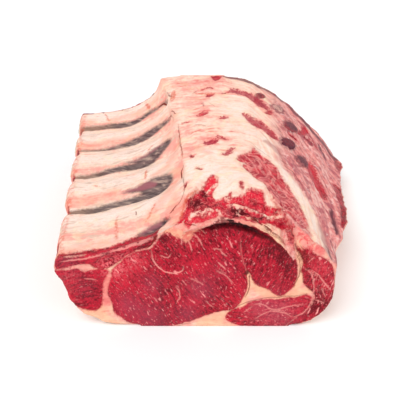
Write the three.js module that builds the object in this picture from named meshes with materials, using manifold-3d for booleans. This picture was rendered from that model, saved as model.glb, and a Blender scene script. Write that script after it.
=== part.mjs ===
// A bone-in beef forerib rack of five ribs, sawn off the backbone and lying on its fat cap.
// The ribs' inner side faces up on the left, the slope where the backbone was sawn off falls to
// the right, and the cut face with the rib eye looks along -Y.
// Millimetres, +Z up, origin on the table under the middle.
import * as THREE from "three";
import { mergeVertices } from "three/addons/utils/BufferGeometryUtils.js";
import Module from "manifold-3d";

const wasm = await Module();
wasm.setup();

// Driving dimensions. A pair holds the value at the front cut and at the back cut.
const FRONT_LEAN = 15; // degrees that the front cut leans back from upright
const BACK_LEAN = 8;
const BACK_FOOT = 281; // the back cut's foot behind the front cut's foot
const RIB_END_X = [-136, -155]; // inner edge of the sawn rib ends
const RIB_END_Z = [71, 88];
const RIB_END_DROP = [22, 27]; // height of the sawn ends
const RIB_END_BULGE = 6; // how far the middle of a sawn rib stands out
const RIB_FLAT = [46, 60]; // how far a rib runs nearly level before it turns up
const RIDGE_X = [-15, -54]; // crest where the ribs meet the backbone
const RIDGE_Z = [111, 134];
const RIDGE_SWEEP = 1.6; // the crest turns outward mostly near the back
const RIDGE_LEAD_X = [21, 6]; // the rib's last stretch under the crest
const RIDGE_LEAD_Z = [17, 32];
const DOME_X = [16, 16]; // handle of the fat over the backbone
const DOME_Z = [126, 142];
const SLOPE_TOP_X = [54, 52]; // upper edge of the sawn slope
const SLOPE_TOP_Z = [114, 134];
const SLOPE_BULGE_X = [94, 120]; // handle that rounds the sawn slope
const SLOPE_BULGE_Z = [98, 110];
const SLOPE_FOOT_X = [125, 177]; // lower edge of the sawn slope
const SLOPE_FOOT_Z = [62, 27];
const SIDE_DROP = [22, 9]; // height of the outer side under the sawn slope
const BASE_RIGHT = [83, 142]; // ends of the flat that rests on the table
const BASE_LEFT = [-62, -58];
const FLANK_REACH = [53, 52]; // how full the flank is over the table
const FLANK_RISE = [31, 38]; // and under the rib ends

const RIB_FIRST = 49; // first rib behind the front cut's foot
const RIB_PITCH = 59; // to the second rib
const RIB_CLOSING = 4; // each further pitch is this much shorter
const RIB_COUNT = 5;
const RIB_WIDTH = 25;
const RIB_THICKNESS = 13;
const RIB_COVER = 4.5; // flesh over a rib
const RIB_HEAD = 0.93; // share of the rib curve where the bone ends
const GROOVE_DEPTH = 6.5; // hollow between two ribs
const GROOVE_WIDTH = 13;
const END_HOLLOW = 3; // flesh between the sawn ends stands back

// Sawn bone ends in the slope: places as shares of the length and of the way down, with the
// greater and the lesser width of each.
const CHINE_ENDS = [
  { along: 0.525, down: 0.525, long: 28, wide: 18 },
  { along: 0.585, down: 0.37, long: 33, wide: 17 },
  { along: 0.76, down: 0.415, long: 33, wide: 19 },
  { along: 0.841, down: 0.28, long: 24, wide: 17 },
  { along: 0.875, down: 0.125, long: 19, wide: 11 },
];
const CHINE_TURN = 51; // degrees from the way down the slope to the greater width
const CHINE_DEPTH = 20;
const CHINE_RISE = 2.4; // the middle of an end stands this proud of the slope
// Half width and height along a bone end, from its foot to its middle.
const CHINE_PROFILE = [[0, -1], [0.8, -1], [1, 0], [0.94, 0.5], [0.6, 0.9], [0, 1]];
const BONE_GAP = 0.3;

const FLAP_REACH = 14; // torn flap along the slope's lower edge
const FLAP_FROM = 0.15; // where it starts, stands out most and ends, as shares of the length
const FLAP_FULL = 0.36;
const FLAP_TO = 0.99;
const FLAP_NARROW = 0.42; // share of its reach that it loses towards the back
const FLAP_SCRAP = 0.88; // its one pointed scrap
const SLOPE_LINES = [
  { down: [0.93, 0.54], rise: -2.4 }, // two furrows and a ridge, as shares of the way down
  { down: [1.1, 0.41], rise: -1.6 },
  { down: [0.75, -0.4], rise: 1.6 },
];
const LINE_WIDTH = 0.045;
const LUMP = 1.4; // unevenness of the fat and flesh

const EYE_TOP_X = 24; // crown of the rib eye in the front cut
const EYE_TOP_Z = 103;
const EYE_LOW_Z = 58; // the crown line is drawn no lower than this
const TORN_FROM = [-24, -6]; // where the torn flesh over the eye starts, left to right
const TORN_TO = [62, 96];
const TORN_SETBACK = 36; // the torn flesh slopes back this far over TORN_HEIGHT
const TORN_HEIGHT = 17;
const TORN_NOTCH = 16; // it reaches this much further back near its left end
const TORN_NOTCH_X = 6;
const TORN_ROUGH = 3;
const LIP_REACH = 5; // lip of torn flesh standing out over the eye
const EYE_SINK = 5; // the eye lies back under the lip
const FACE_SWELL = 2.5; // the muscles of the cut face bulge

const RING_ROWS = 50; // rings of the loft along the rack
const FACE_COLUMNS = 46; // grid of the front cut
const FACE_ROWS = 24;
const FACE_LEFT = -162;
const FACE_RIGHT = 152;
const BLADE_REACH = 160; // far side of the solid that makes the front cut
const OVERHANG = 16; // the loft starts this far before the front cut

const FLESH = 0xa31f2a;
const RIB_BONE = 0xe9cdb4;
const CHINE_BONE = 0x5d2430;

const between = ([front, back], v) => THREE.MathUtils.lerp(front, back, v);
const smooth = (low, high, x) => THREE.MathUtils.smoothstep(x, low, high);
const point = (x, z) => new THREE.Vector2(x, z);
const bell = (x, centre, width) => Math.exp(-(((x - centre) / width) ** 2));
const slant = (degrees) => Math.tan(THREE.MathUtils.degToRad(degrees));

// Place along the rack of rib n, as a share; n - 0.5 is the groove before it.
function ribShare(n) {
  return (RIB_FIRST + n * RIB_PITCH - (RIB_CLOSING * n * (n - 1)) / 2) / BACK_FOOT;
}

const GROOVES = Array.from({ length: RIB_COUNT }, (_, n) => ribShare(n - 0.5));

// 0 on a rib and 1 in the middle of a groove. The first groove fades out towards the rib ends.
function hollow(v, inward) {
  const first = bell(v, GROOVES[0], GROOVE_WIDTH / BACK_FOOT) * inward;
  const rest = GROOVES.slice(1).map((g) => bell(v, g, GROOVE_WIDTH / BACK_FOOT));
  return Math.min(rest.reduce((sum, value) => sum + value, first), 1);
}

// Slow unevenness, the same on every run.
function lump(a, b) {
  const broad = Math.sin(9.1 * a + 5.3 * b + 1) * Math.sin(4.7 * a - 11.9 * b);
  return LUMP * (broad + 0.5 * Math.sin(23 * a + 19 * b));
}

// Corners of the section at v.
function corners(v) {
  const ridge = point(between(RIDGE_X, v ** RIDGE_SWEEP), between(RIDGE_Z, v));
  const end = point(between(RIB_END_X, v), between(RIB_END_Z, v));
  const foot = point(between(SLOPE_FOOT_X, v), between(SLOPE_FOOT_Z, v));
  return {
    end,
    ridge,
    slopeTop: point(between(SLOPE_TOP_X, v), between(SLOPE_TOP_Z, v)),
    foot,
    side: point(foot.x, foot.y - between(SIDE_DROP, v)),
    right: point(between(BASE_RIGHT, v), 0),
    left: point(between(BASE_LEFT, v), 0),
    endLow: point(end.x, end.y - between(RIB_END_DROP, v)),
  };
}

function ribCurve(v) {
  const { end, ridge } = corners(v);
  return new THREE.CubicBezierCurve(
    end,
    point(end.x + between(RIB_FLAT, v), end.y),
    point(ridge.x - between(RIDGE_LEAD_X, v), ridge.y - between(RIDGE_LEAD_Z, v)),
    ridge,
  );
}

function domeCurve(v) {
  const { ridge, slopeTop } = corners(v);
  const handle = point(between(DOME_X, v), between(DOME_Z, v));
  return new THREE.QuadraticBezierCurve(ridge, handle, slopeTop);
}

function slopeCurve(v) {
  const { slopeTop, foot } = corners(v);
  const handle = point(between(SLOPE_BULGE_X, v), between(SLOPE_BULGE_Z, v));
  return new THREE.QuadraticBezierCurve(slopeTop, handle, foot);
}

function sideCurve(v) {
  const { foot, side } = corners(v);
  return new THREE.LineCurve(foot, side);
}

function footCurve(v) {
  const { side, right } = corners(v);
  const rise = point(side.x + 2, 0.45 * side.y);
  const level = point(right.x + 0.6 * (side.x - right.x), 0);
  return new THREE.CubicBezierCurve(side, rise, level, right);
}

function baseCurve(v) {
  const { right, left } = corners(v);
  return new THREE.LineCurve(right, left);
}

function flankCurve(v) {
  const { left, endLow } = corners(v);
  const level = point(left.x - between(FLANK_REACH, v), 0);
  const rise = point(endLow.x + 9, endLow.y - between(FLANK_RISE, v));
  return new THREE.CubicBezierCurve(left, level, rise, endLow);
}

function sawnEndCurve(v) {
  const { end, endLow } = corners(v);
  return new THREE.LineCurve(endLow, end);
}

// Relief across each stretch: how far a point moves out of the section at share t of the stretch.
function ribRelief(t, v) {
  const near = smooth(0, 0.75, t) * (1 - smooth(0.9, 1, t));
  const inward = smooth(0.3, 0.6, t);
  return -GROOVE_DEPTH * (0.5 + 0.6 * near) * (1 - smooth(0.94, 1, t)) * hollow(v, inward);
}

function slopeRelief(t, v) {
  const lines = SLOPE_LINES.map(({ down, rise }) => rise * bell(t, between(down, v), LINE_WIDTH));
  return (lump(t + 2, v) + lines.reduce((sum, value) => sum + value, 0)) * Math.sin(Math.PI * t) ** 0.5;
}

function flapRelief(v) {
  const start = smooth(FLAP_FROM, FLAP_FROM + 0.05, v) * (0.5 + 0.5 * smooth(0.2, FLAP_FULL, v));
  const end = 1 - smooth(FLAP_TO - 0.09, FLAP_TO, v);
  const narrow = 1 - FLAP_NARROW * smooth(FLAP_FULL, 0.75, v);
  const ragged = 1 + 0.03 * Math.sin(61 * v);
  return FLAP_REACH * (start * end * narrow * ragged + 0.3 * bell(v, FLAP_SCRAP, 0.04));
}

function sawnEndRelief(t, v) {
  const belly = Math.sin(Math.PI * t);
  const deep = hollow(v, 0) ** 2;
  return RIB_END_BULGE * belly * (1 - deep) - END_HOLLOW * (0.3 + 0.7 * belly) * deep;
}

// The outline of a section, clockwise from the rib ends, in stretches.
const STRETCHES = [
  { curve: ribCurve, steps: 17, relief: ribRelief },
  { curve: domeCurve, steps: 8, relief: (t, v) => lump(t, v) * Math.sin(Math.PI * t) },
  { curve: slopeCurve, steps: 13, relief: slopeRelief },
  { curve: sideCurve, steps: 4, relief: (t, v) => flapRelief(v) * bell(t, 0.05, 0.4) },
  { curve: footCurve, steps: 6, relief: () => 0 },
  { curve: baseCurve, steps: 3, relief: () => 0 },
  { curve: flankCurve, steps: 8, relief: (t, v) => lump(t + 5, v) * Math.sin(Math.PI * t) },
  { curve: sawnEndCurve, steps: 4, relief: sawnEndRelief },
];

function section(v) {
  return STRETCHES.flatMap(({ curve, steps, relief }) => {
    const line = curve(v);
    return Array.from({ length: steps }, (_, i) => {
      const t = i / steps;
      const spot = line.getPoint(t);
      const tangent = line.getTangent(t);
      const out = relief(t, v);
      return point(spot.x - tangent.y * out, spot.y + tangent.x * out);
    });
  });
}

// Distance from the front cut's foot at height z and share v of the length.
function depthAt(z, v) {
  return THREE.MathUtils.lerp(slant(FRONT_LEAN) * z, BACK_FOOT + slant(BACK_LEAN) * z, v);
}

// Upper edge of the rib eye in the front cut.
function crownAt(x) {
  const off = x - EYE_TOP_X;
  const fall = off < 0 ? 0.0057 * off ** 2 : 0.004 * off ** 2 + 0.0001 * off ** 3;
  return Math.max(EYE_TOP_Z - fall, EYE_LOW_Z);
}

// The front cut: swelling muscles, the crevice and lip over the eye, and torn flesh behind the lip.
function faceDepth(x, z) {
  const over = z - crownAt(x);
  const span = smooth(...TORN_FROM, x) * (1 - smooth(...TORN_TO, x));
  const setback = TORN_SETBACK + TORN_NOTCH * bell(x, TORN_NOTCH_X, 14);
  const ragged = TORN_ROUGH * Math.sin(0.31 * x + 0.45 * over) * Math.sin(0.17 * x - 0.6 * over + 1);
  const torn = smooth(2, TORN_HEIGHT, over) * setback + smooth(3, 7, over) * ragged;
  const lip = -LIP_REACH * bell(over, 2.5, 3);
  const sink = EYE_SINK * smooth(-26, -1.5, over) * (1 - smooth(-1, 1.5, over));
  const below = 1 - smooth(0, 4, over) * span;
  const swell = FACE_SWELL * Math.sin(0.035 * x + 1.2) * Math.sin(0.045 * z) * below;
  return slant(FRONT_LEAN) * z + (torn + lip + sink) * span - swell;
}

function solidOf(geometry) {
  const bare = new THREE.BufferGeometry();
  bare.setAttribute("position", geometry.getAttribute("position"));
  bare.setIndex(geometry.getIndex());
  const merged = mergeVertices(bare, 1e-4);
  return new wasm.Manifold(
    new wasm.Mesh({
      numProp: 3,
      vertProperties: merged.getAttribute("position").array,
      triVerts: Uint32Array.from(merged.getIndex().array),
    }),
  );
}

function geometryOf(solid) {
  const mesh = solid.getMesh();
  const geometry = new THREE.BufferGeometry();
  geometry.setAttribute("position", new THREE.BufferAttribute(mesh.vertProperties, 3));
  geometry.setIndex(new THREE.BufferAttribute(mesh.triVerts, 1));
  geometry.computeVertexNormals();
  return geometry;
}

// Moves every corner of a geometry to where the given function puts it.
function shaped(geometry, where) {
  const position = geometry.getAttribute("position");
  for (let i = 0; i < position.count; i++) {
    const p = where(position.getX(i), position.getY(i), position.getZ(i));
    position.setXYZ(i, p.x, p.y, p.z);
  }
  return geometry;
}

// Joins rings of equal length into a closed body, with a fan over each end.
function loft(rings) {
  const size = rings[0].length;
  const middles = [rings[0], rings.at(-1)].map((ring) =>
    ring.reduce((sum, p) => sum.add(p), new THREE.Vector3()).divideScalar(size),
  );
  const geometry = new THREE.BufferGeometry().setFromPoints([...rings.flat(), ...middles]);
  const index = [];
  const first = rings.length * size;
  const lastRing = first - size;
  for (let i = 0; i < size; i++) {
    const next = (i + 1) % size;
    for (let r = 0; r < lastRing; r += size) {
      index.push(r + i, r + next, r + size + i, r + next, r + size + next, r + size + i);
    }
    index.push(first, next, i, first + 1, lastRing + i, lastRing + next);
  }
  geometry.setIndex(index);
  return geometry;
}

// Flesh and fat with the front still uncut.
function uncutRack() {
  const rings = [];
  for (let r = 0; r <= RING_ROWS; r++) {
    const v = r / RING_ROWS;
    const outline = section(v);
    if (r === 0) {
      rings.push(outline.map((p) => new THREE.Vector3(p.x, depthAt(p.y, 0) - OVERHANG, p.y)));
    }
    rings.push(outline.map((p) => new THREE.Vector3(p.x, depthAt(p.y, v), p.y)));
  }
  return solidOf(loft(rings));
}

// What lies before the front cut. Its rows crowd round the crown of the eye.
function frontBlade() {
  const blade = new THREE.BoxGeometry(1, 1, 1, FACE_COLUMNS, 1, FACE_ROWS);
  return solidOf(
    shaped(blade, (px, py, pz) => {
      const x = THREE.MathUtils.lerp(FACE_LEFT, FACE_RIGHT, px + 0.5);
      const crown = crownAt(x);
      const row = pz + 0.5;
      const low = THREE.MathUtils.lerp(-10, crown - 5, Math.min(row / 0.45, 1));
      const fine = (TORN_HEIGHT + 8) * THREE.MathUtils.clamp((row - 0.45) / 0.4, 0, 1);
      const z = low + fine + 60 * Math.max((row - 0.85) / 0.15, 0);
      return new THREE.Vector3(x, py < 0 ? -BLADE_REACH : faceDepth(x, z), z);
    }),
  );
}

// A rib bone follows the rib curve under its cover, from past the sawn end to the rib head.
function ribBar(n, grow) {
  const v = ribShare(n);
  const curve = ribCurve(v);
  const bar = new THREE.CylinderGeometry(1, 1, 1, 10, 10);
  return solidOf(
    shaped(bar, (x, y, z) => {
      const t = (y + 0.5) * RIB_HEAD;
      const spot = curve.getPoint(t);
      const tangent = curve.getTangent(t);
      const taper = 1 - 0.3 * smooth(0.4, 1, t);
      const down = RIB_COVER + RIB_THICKNESS / 2 - x * ((RIB_THICKNESS / 2) * taper + grow);
      const side = z * ((RIB_WIDTH / 2) * taper + grow);
      const past = y < -0.49 ? 25 : y > 0.49 ? -grow : 0;
      const px = spot.x + tangent.y * down - tangent.x * past;
      const pz = spot.y - tangent.x * down - tangent.y * past;
      return new THREE.Vector3(px, depthAt(pz, v) + side, pz);
    }),
  );
}

// A sawn bone end in the slope, square to it and slightly domed.
function chineBar(n, grow) {
  const { along, down, long, wide } = CHINE_ENDS[n];
  const curve = slopeCurve(along);
  const spot = curve.getPointAt(down);
  const tangent = curve.getTangentAt(down);
  const middle = new THREE.Vector3(spot.x, depthAt(spot.y, along), spot.y);
  const outward = new THREE.Vector3(-tangent.y, 0, tangent.x);
  const bar = new THREE.LatheGeometry(CHINE_PROFILE.map(([x, y]) => point(x, y)), 16);
  const turn = THREE.MathUtils.degToRad(CHINE_TURN);
  return solidOf(
    shaped(bar, (x, y, z) => {
      const spread = point(-x * (long / 2 + grow), z * (wide / 2 + grow)).rotateAround(point(0, 0), turn);
      const high = y < 0 ? -CHINE_DEPTH - grow : CHINE_RISE * y + (grow > 0 && y > 0 ? 5 : 0);
      const spotOut = middle.clone().addScaledVector(outward, high);
      spotOut.x += spread.x * tangent.x;
      spotOut.y += spread.y;
      spotOut.z += spread.x * tangent.y;
      return spotOut;
    }),
  );
}

function meshOf(name, solid, colour, roughness) {
  const material = new THREE.MeshStandardMaterial({ color: colour, roughness, metalness: 0 });
  const mesh = new THREE.Mesh(geometryOf(solid), material);
  mesh.name = name;
  return mesh;
}

const rack = uncutRack().subtract(frontBlade());
let flesh = rack;
const group = new THREE.Group();
for (let n = 0; n < RIB_COUNT; n++) {
  flesh = flesh.subtract(ribBar(n, BONE_GAP));
  group.add(meshOf(`rib_${n + 1}`, ribBar(n, 0).intersect(rack), RIB_BONE, 0.55));
}
for (let n = 0; n < CHINE_ENDS.length; n++) {
  flesh = flesh.subtract(chineBar(n, BONE_GAP));
  group.add(meshOf(`chine_bone_${n + 1}`, chineBar(n, 0), CHINE_BONE, 0.6));
}
group.add(meshOf("meat", flesh, FLESH, 0.5));

// The origin goes on the table under the middle of the whole.
const box = new THREE.Box3().setFromObject(group);
const centre = box.getCenter(new THREE.Vector3());
group.position.set(-centre.x, -centre.y, -box.min.z);

export default group;
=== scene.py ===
import math

import bmesh
import bpy
import numpy as np
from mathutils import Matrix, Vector, noise


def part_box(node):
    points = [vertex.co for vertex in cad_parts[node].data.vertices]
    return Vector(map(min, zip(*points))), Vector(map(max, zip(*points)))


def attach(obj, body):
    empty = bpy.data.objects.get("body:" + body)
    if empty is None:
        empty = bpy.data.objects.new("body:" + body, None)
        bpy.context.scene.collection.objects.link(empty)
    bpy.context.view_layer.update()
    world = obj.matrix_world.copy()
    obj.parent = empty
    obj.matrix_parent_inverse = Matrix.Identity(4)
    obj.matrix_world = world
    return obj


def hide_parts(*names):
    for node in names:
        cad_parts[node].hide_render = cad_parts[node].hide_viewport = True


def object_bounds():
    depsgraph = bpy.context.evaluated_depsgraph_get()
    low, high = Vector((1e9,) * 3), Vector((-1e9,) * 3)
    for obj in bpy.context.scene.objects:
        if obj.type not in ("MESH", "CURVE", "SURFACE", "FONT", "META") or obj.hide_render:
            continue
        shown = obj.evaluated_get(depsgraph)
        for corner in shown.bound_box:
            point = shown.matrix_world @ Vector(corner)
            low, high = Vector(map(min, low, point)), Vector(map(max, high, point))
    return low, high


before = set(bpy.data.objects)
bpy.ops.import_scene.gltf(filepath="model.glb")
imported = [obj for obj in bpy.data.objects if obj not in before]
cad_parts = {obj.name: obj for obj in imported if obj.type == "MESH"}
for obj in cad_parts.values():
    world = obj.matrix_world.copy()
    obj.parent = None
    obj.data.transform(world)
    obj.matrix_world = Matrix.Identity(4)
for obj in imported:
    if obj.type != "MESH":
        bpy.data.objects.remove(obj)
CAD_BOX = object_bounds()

bl_info = {
    "name": "Beef forerib rack",
    "version": (1, 0, 0),
    "blender": (4, 5, 0),
    "location": "View3D > Sidebar > Rack",
    "description": "Flesh, fat, membranes and sawn bones of a raw beef forerib rack",
    "category": "Object",
}

# Places are millimetres: X to the right of the rack's middle line, Y away from the cut face and
# Z up. A pair is one size at the front cut and at the back cut, or the two ends of a soft edge.
MM = 0.001
FAR = 15.0  # a distance that counts as clear of every mark
LINE_STEPS = 6  # between two points of a smooth line
RIBS = sorted(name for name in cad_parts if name.startswith("rib_"))
CHINES = sorted(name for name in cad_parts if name.startswith("chine_bone_"))
RIB_REACH = 160.1  # from the front rib's sawn end to the middle line
MIDDLE = np.array([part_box("rib_1")[0].x / MM + RIB_REACH, 0, 0])

# The rack's own form, as its solids have it.
FACE_FOOT = CAD_BOX[0][1] / MM
FACE_LEAN = math.radians(15)
BACK_LEAN = math.radians(8)
BACK_FOOT = 281
RIB_END_X = (-150, -169)
RIB_END_Z = (71, 88)
RIDGE_X = (-29, -68)
RIDGE_SWEEP = 1.6
SLOPE_TOP_X = (40, 38)
SLOPE_BULGE_X = (80, 106)
SLOPE_FOOT_X = (111, 163)
GROOVES = (0.064, 0.281, 0.484, 0.673, 0.847)
CROWN = (10, 103)  # top of the rib eye in the cut face
CROWN_LOW = 58
CROWN_FALL_LEFT = 0.0057
CROWN_FALL = (0.004, 0.0001)  # by the square and the cube of the way to the right
TORN_LEFT = (-38, -20)
TORN_RIGHT = (48, 82)
TORN_SETBACK = 36
TORN_HEIGHT = 17
TORN_NOTCH = (-8, 14, 16)  # middle, width and depth
LIP_REACH = 5
EYE_SINK = 5
# Heights over the eye's crown: torn fat, the lip's middle and half width, and the sunk eye.
TORN_FROM = 2
LIP_BAND = (2.5, 3)
UNDER_LIP = (0.5, 2)
LIP_ENDS = (0.1, 0.4)  # share of the torn stretch over which the lip ends
EYE_HOLLOW = (-26, -1.5)
EYE_TOP = (-1, 1.5)
# The sawn slope, the ridge and the sawn rib ends.
DOWN_LIMITS = (-0.2, 1.2)
SLOPE_EDGE = (-0.02, 0.12)
RIDGE_EDGE = (-4, 4)
END_WIDTH = (6, 9)
END_FOOT = (-34, -28)
FACING_UP = (-0.05, 0.25)  # by how much a corner faces up
FACING_SIDE = (0.5, 0.8)
SKIN_DEPTH = (2.5, 4.5)  # how far behind a cut a corner is still on it, and is no longer
RIB_HALF = (12.5, 6.5)
RIB_LEAN = 0.6 * math.tan(FACE_LEAN)
SLOPE_OUT = np.array([0.7, 0, 0.7])  # roughly the way the sawn slope faces
CAP_SHARE = 0.94  # how much of a backbone end's width its flat cap takes
CAP_FACING = 0.75  # how squarely the faces of that cap look out of the slope, at least
TIP_REACH = 7.5  # how far in the corners of a rib's tip lie
END_REACH = 8  # how far in from its tip a rib's sawn end goes
# Shares of the way out to a bone's rim where the flesh stands back and where the core is sunk.
RIB_RECESS = (0.85, 1.1)
CHINE_RECESS = (0.86, 1)
CHINE_NEAR = 9  # height either side of a backbone end's top where flesh is near it
RIB_CORE = (0.55, 0.8)
RIB_HOLLOW = 0.5
RIB_PORES = 0.4
OUTER_BONE = 1.2
CHINE_CORE = (0.75, 1)
CHINE_TOP = (-3, -1)
CHINE_HOLLOW = 0.4
CHINE_PORES = 0.45
CHINE_PITS = 0.5
WELD = 0.005  # corners closer than this are one
FLESH_ROUNDS = 5  # how often a skin is smoothed
BONE_ROUNDS = 3
CHINE_FRAY = 0.32  # how uneven the rim round a backbone end is

# Muscles of the cut face: how deep a red, how much marbling, which way the grain runs in
# degrees, and the (x, z) outline.
MUSCLES = (
    (0.42, 1, -52, (  # rib eye
        (-101, 58), (-95, 64), (-88, 71), (-80, 76), (-71, 79), (-64, 80), (-60, 83), (-57, 89), (-53, 93),
        (-46, 95), (-41, 92), (-36, 88), (-31, 85), (-27, 85), (-26, 88), (-23, 92), (-18, 95), (-11, 104),
        (-4, 106), (5, 107), (14, 107), (22, 105), (26, 90), (27, 78), (28, 67), (26, 59), (27, 51),
        (28, 45), (27, 38), (24, 31), (21, 25), (15, 20), (6, 18), (-3, 16), (-13, 12), (-23, 8), (-32, 4),
        (-42, 1), (-57, -1), (-71, -1), (-84, 3), (-93, 8), (-101, 14), (-103, 24), (-106, 32), (-105, 41),
        (-102, 50),
    )),
    (0.6, 1, 62, (  # cap muscle
        (17, 107), (24, 105), (33, 102), (42, 98), (51, 93), (59, 86), (66, 78), (71, 71), (74, 63),
        (75, 52), (73, 43), (68, 36), (62, 31), (56, 32), (49, 37), (41, 41), (35, 45), (31, 51), (28, 57),
        (25, 61), (21, 73), (18, 86),
    )),
    (0, 1.2, -6, (  # flat muscle
        (7, 11), (10, 17), (16, 20), (23, 22), (28, 25), (34, 28), (44, 29), (55, 28), (67, 29), (77, 30),
        (86, 32), (91, 27), (89, 20), (85, 13), (77, 9), (70, 5), (65, 0), (55, -1), (43, -1), (31, -1),
        (21, 1), (11, 5),
    )),
    (0.65, 1.3, 74, (  # side muscle
        (73, 77), (77, 71), (79, 65), (78, 58), (80, 49), (82, 42), (87, 37), (91, 33), (92, 26), (89, 20),
        (85, 14), (77, 10), (70, 5), (66, 0), (75, 0), (82, 3), (91, 7), (99, 12), (107, 20), (112, 29),
        (113, 38), (111, 48), (109, 56), (107, 63), (102, 68), (96, 72), (90, 75), (84, 80), (80, 79),
        (76, 78),
    )),
    (0.5, 0.5, 12, (  # belly muscle
        (-156, 58), (-149, 59), (-140, 59), (-133, 60), (-127, 57), (-120, 58), (-112, 59), (-104, 57),
        (-108, 49), (-110, 41), (-111, 33), (-112, 25), (-114, 18), (-122, 16), (-130, 18), (-137, 21),
        (-143, 25), (-146, 33), (-147, 41), (-149, 47), (-154, 51),
    )),
    (0.74, 0.3, 20, (  # rib strip
        (-156, 66), (-152, 71), (-141, 71), (-132, 72), (-125, 73), (-116, 76), (-107, 79), (-97, 83),
        (-90, 86), (-83, 88), (-75, 90), (-67, 93), (-61, 96), (-57, 97), (-57, 92), (-59, 87), (-62, 83),
        (-66, 81), (-71, 80), (-79, 77), (-86, 73), (-92, 68), (-100, 62), (-108, 59), (-115, 60),
        (-120, 63), (-126, 64), (-135, 63), (-144, 61), (-152, 60),
    )),
)
# Pale sinews in the cut face: how clearly each shows, and its (x, z) line.
SINEWS = (
    (1.2, ((-63, 81), (-62, 71), (-58, 64), (-52, 58), (-45, 56), (-38, 57), (-34, 59), (-33, 64))),
    (0.8, ((-56, 74), (-51, 72), (-47, 72), (-44, 76))),
    (0.8, ((-41, 43), (-37, 37), (-37, 31), (-40, 28))),
    (0.7, ((-3, 59), (7, 54), (14, 46))),
    (0.6, ((-27, 52), (-21, 49), (-14, 45))),
    (0.7, ((-13, 30), (-9, 26), (-4, 22))),
    (0.5, ((-34, 49), (-30, 44))),
    (0.7, ((-6, 79), (3, 78))),
    (0.8, ((0, 78), (8, 72))),
    (0.9, ((-1, 67), (7, 60))),
    (0.35, ((20, 90), (21, 76), (24, 65), (27, 58))),
    (0.8, ((30, 25), (42, 24), (52, 18), (62, 19), (72, 21), (84, 22))),
    (0.8, ((34, 8), (42, 13), (52, 16), (64, 14), (74, 9))),
    (0.6, ((24, 16), (33, 23))),
    (0.9, ((86, 59), (94, 53), (101, 44), (108, 37))),
    (0.8, ((80, 61), (88, 53), (91, 40), (91, 29))),
    (0.9, ((91, 31), (88, 21), (82, 14), (73, 9))),
    (0.8, ((83, 66), (89, 72))),
    (0.7, ((93, 27), (102, 24))),
    (0.7, ((98, 40), (103, 30))),
    (1, ((-149, 67), (-135, 69), (-120, 71), (-104, 76))),
    (1.1, ((-104, 76), (-90, 80), (-76, 84), (-63, 89))),
    (1, ((-76, 83), (-67, 88), (-59, 90))),
    (0.7, ((-128, 50), (-116, 48))),
    (1, ((-30, 90), (-27, 83), (-25, 76))),
    (0.9, ((-25, 92), (-19, 87), (-15, 80))),
    (0.9, ((-35, 90), (-35, 83))),
    (0.8, ((-20, 96), (-12, 91))),
)
# Brown dried seams between muscle and fat in the cut face: how clearly each shows, and its line.
FACE_SEAMS = (
    (0.7, ((29, 56), (29, 50), (30, 44), (28, 37), (25, 30))),
    (0.5, ((12, 19), (20, 23), (30, 27), (44, 30), (60, 30), (76, 31), (88, 34))),
    (0.6, ((70, 38), (75, 47), (77, 57), (75, 68), (69, 77))),
    (0.4, ((-84, 1), (-66, -3), (-44, -1), (-22, 6))),
    (0.7, ((34, 103), (48, 95), (57, 88), (66, 80), (72, 70))),
    (0.7, ((46, 101), (56, 95), (65, 87), (73, 77), (79, 62))),
    (0.7, ((62, 90), (71, 81), (80, 68), (84, 56))),
    (0.6, ((75, 82), (82, 74), (88, 66))),
    (1.3, ((-56, 96), (-59, 91), (-61, 87), (-63, 83), (-69, 80))),
)
# Darker and brighter places in the cut face: (x, z, radius, change of tone).
FACE_TONES = (
    (-125, 50, 12, 0.25), (-122, 28, 10, 0.3), (-140, 30, 6, -0.45), (-122, 19, 6, -0.45),
    (-150, 56, 6, -0.4), (-108, 62, 12, -0.6), (-95, 40, 16, -0.5), (-88, 62, 12, -0.2), (-22, 64, 9, -0.5),
    (-44, 86, 9, 0.3), (-60, 12, 22, 0.3), (-10, 98, 14, 0.3), (30, 96, 16, 0.4), (52, 82, 14, 0.35),
    (64, 62, 9, 0.3), (34, 78, 8, -0.3), (52, 48, 9, -0.2), (30, 2, 14, 0.5), (55, 3, 16, 0.6),
    (96, 32, 9, 0.4), (93, 20, 6, 0.7), (100, 60, 8, -0.3), (106, 40, 6, -0.4), (80, 24, 8, 0.2),
    (-120, 74, 6, -0.3), (-70, 86, 8, 0.35), (-78, 66, 12, -0.4), (90, 64, 9, -0.5), (-100, 68, 8, 0.3),
    (-55, 92, 5, 0.5),
)
CREAM_FAT = (  # the yellowest fat of the cut face, as an (x, z) outline
    (-130, 17), (-112, 22), (-106, 12), (-90, 2), (-76, -4), (-30, -4), (-20, 8), (0, 16), (14, 18), (6, 6),
    (30, -4), (30, -12), (-130, -12),
)
BUTTER_LINES = (  # yellow fat between the muscles, as (x, z, half width) lines
    ((22, 22, 3), (27, 40, 3), (28, 56, 2), (35, 42, 3), (46, 36, 4), (62, 31, 3), (76, 34, 3), (86, 36, 2)),
    ((-48, 97, 3), (-38, 93, 4), (-29, 90, 6), (-18, 98, 3)),
    ((74, 40, 3), (79, 52, 3), (79, 64, 4), (72, 78, 5), (62, 90, 6), (50, 97, 6), (36, 103, 5),
     (22, 108, 3)),
)
FACE_DULLS = (  # duller, mauve places in the cut face: (x, z, radius, strength)
    (-66, 8, 18, 0.8), (-88, 22, 12, 0.7), (-30, 14, 12, 0.7), (-64, 44, 11, 0.6), (-20, 42, 14, 0.5),
    (40, 24, 16, 0.6), (60, 12, 18, 0.7), (-12, 40, 12, 0.3), (-140, 66, 14, 0.4), (-128, 40, 10, 0.3),
    (4, 60, 12, 0.3),
)
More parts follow.
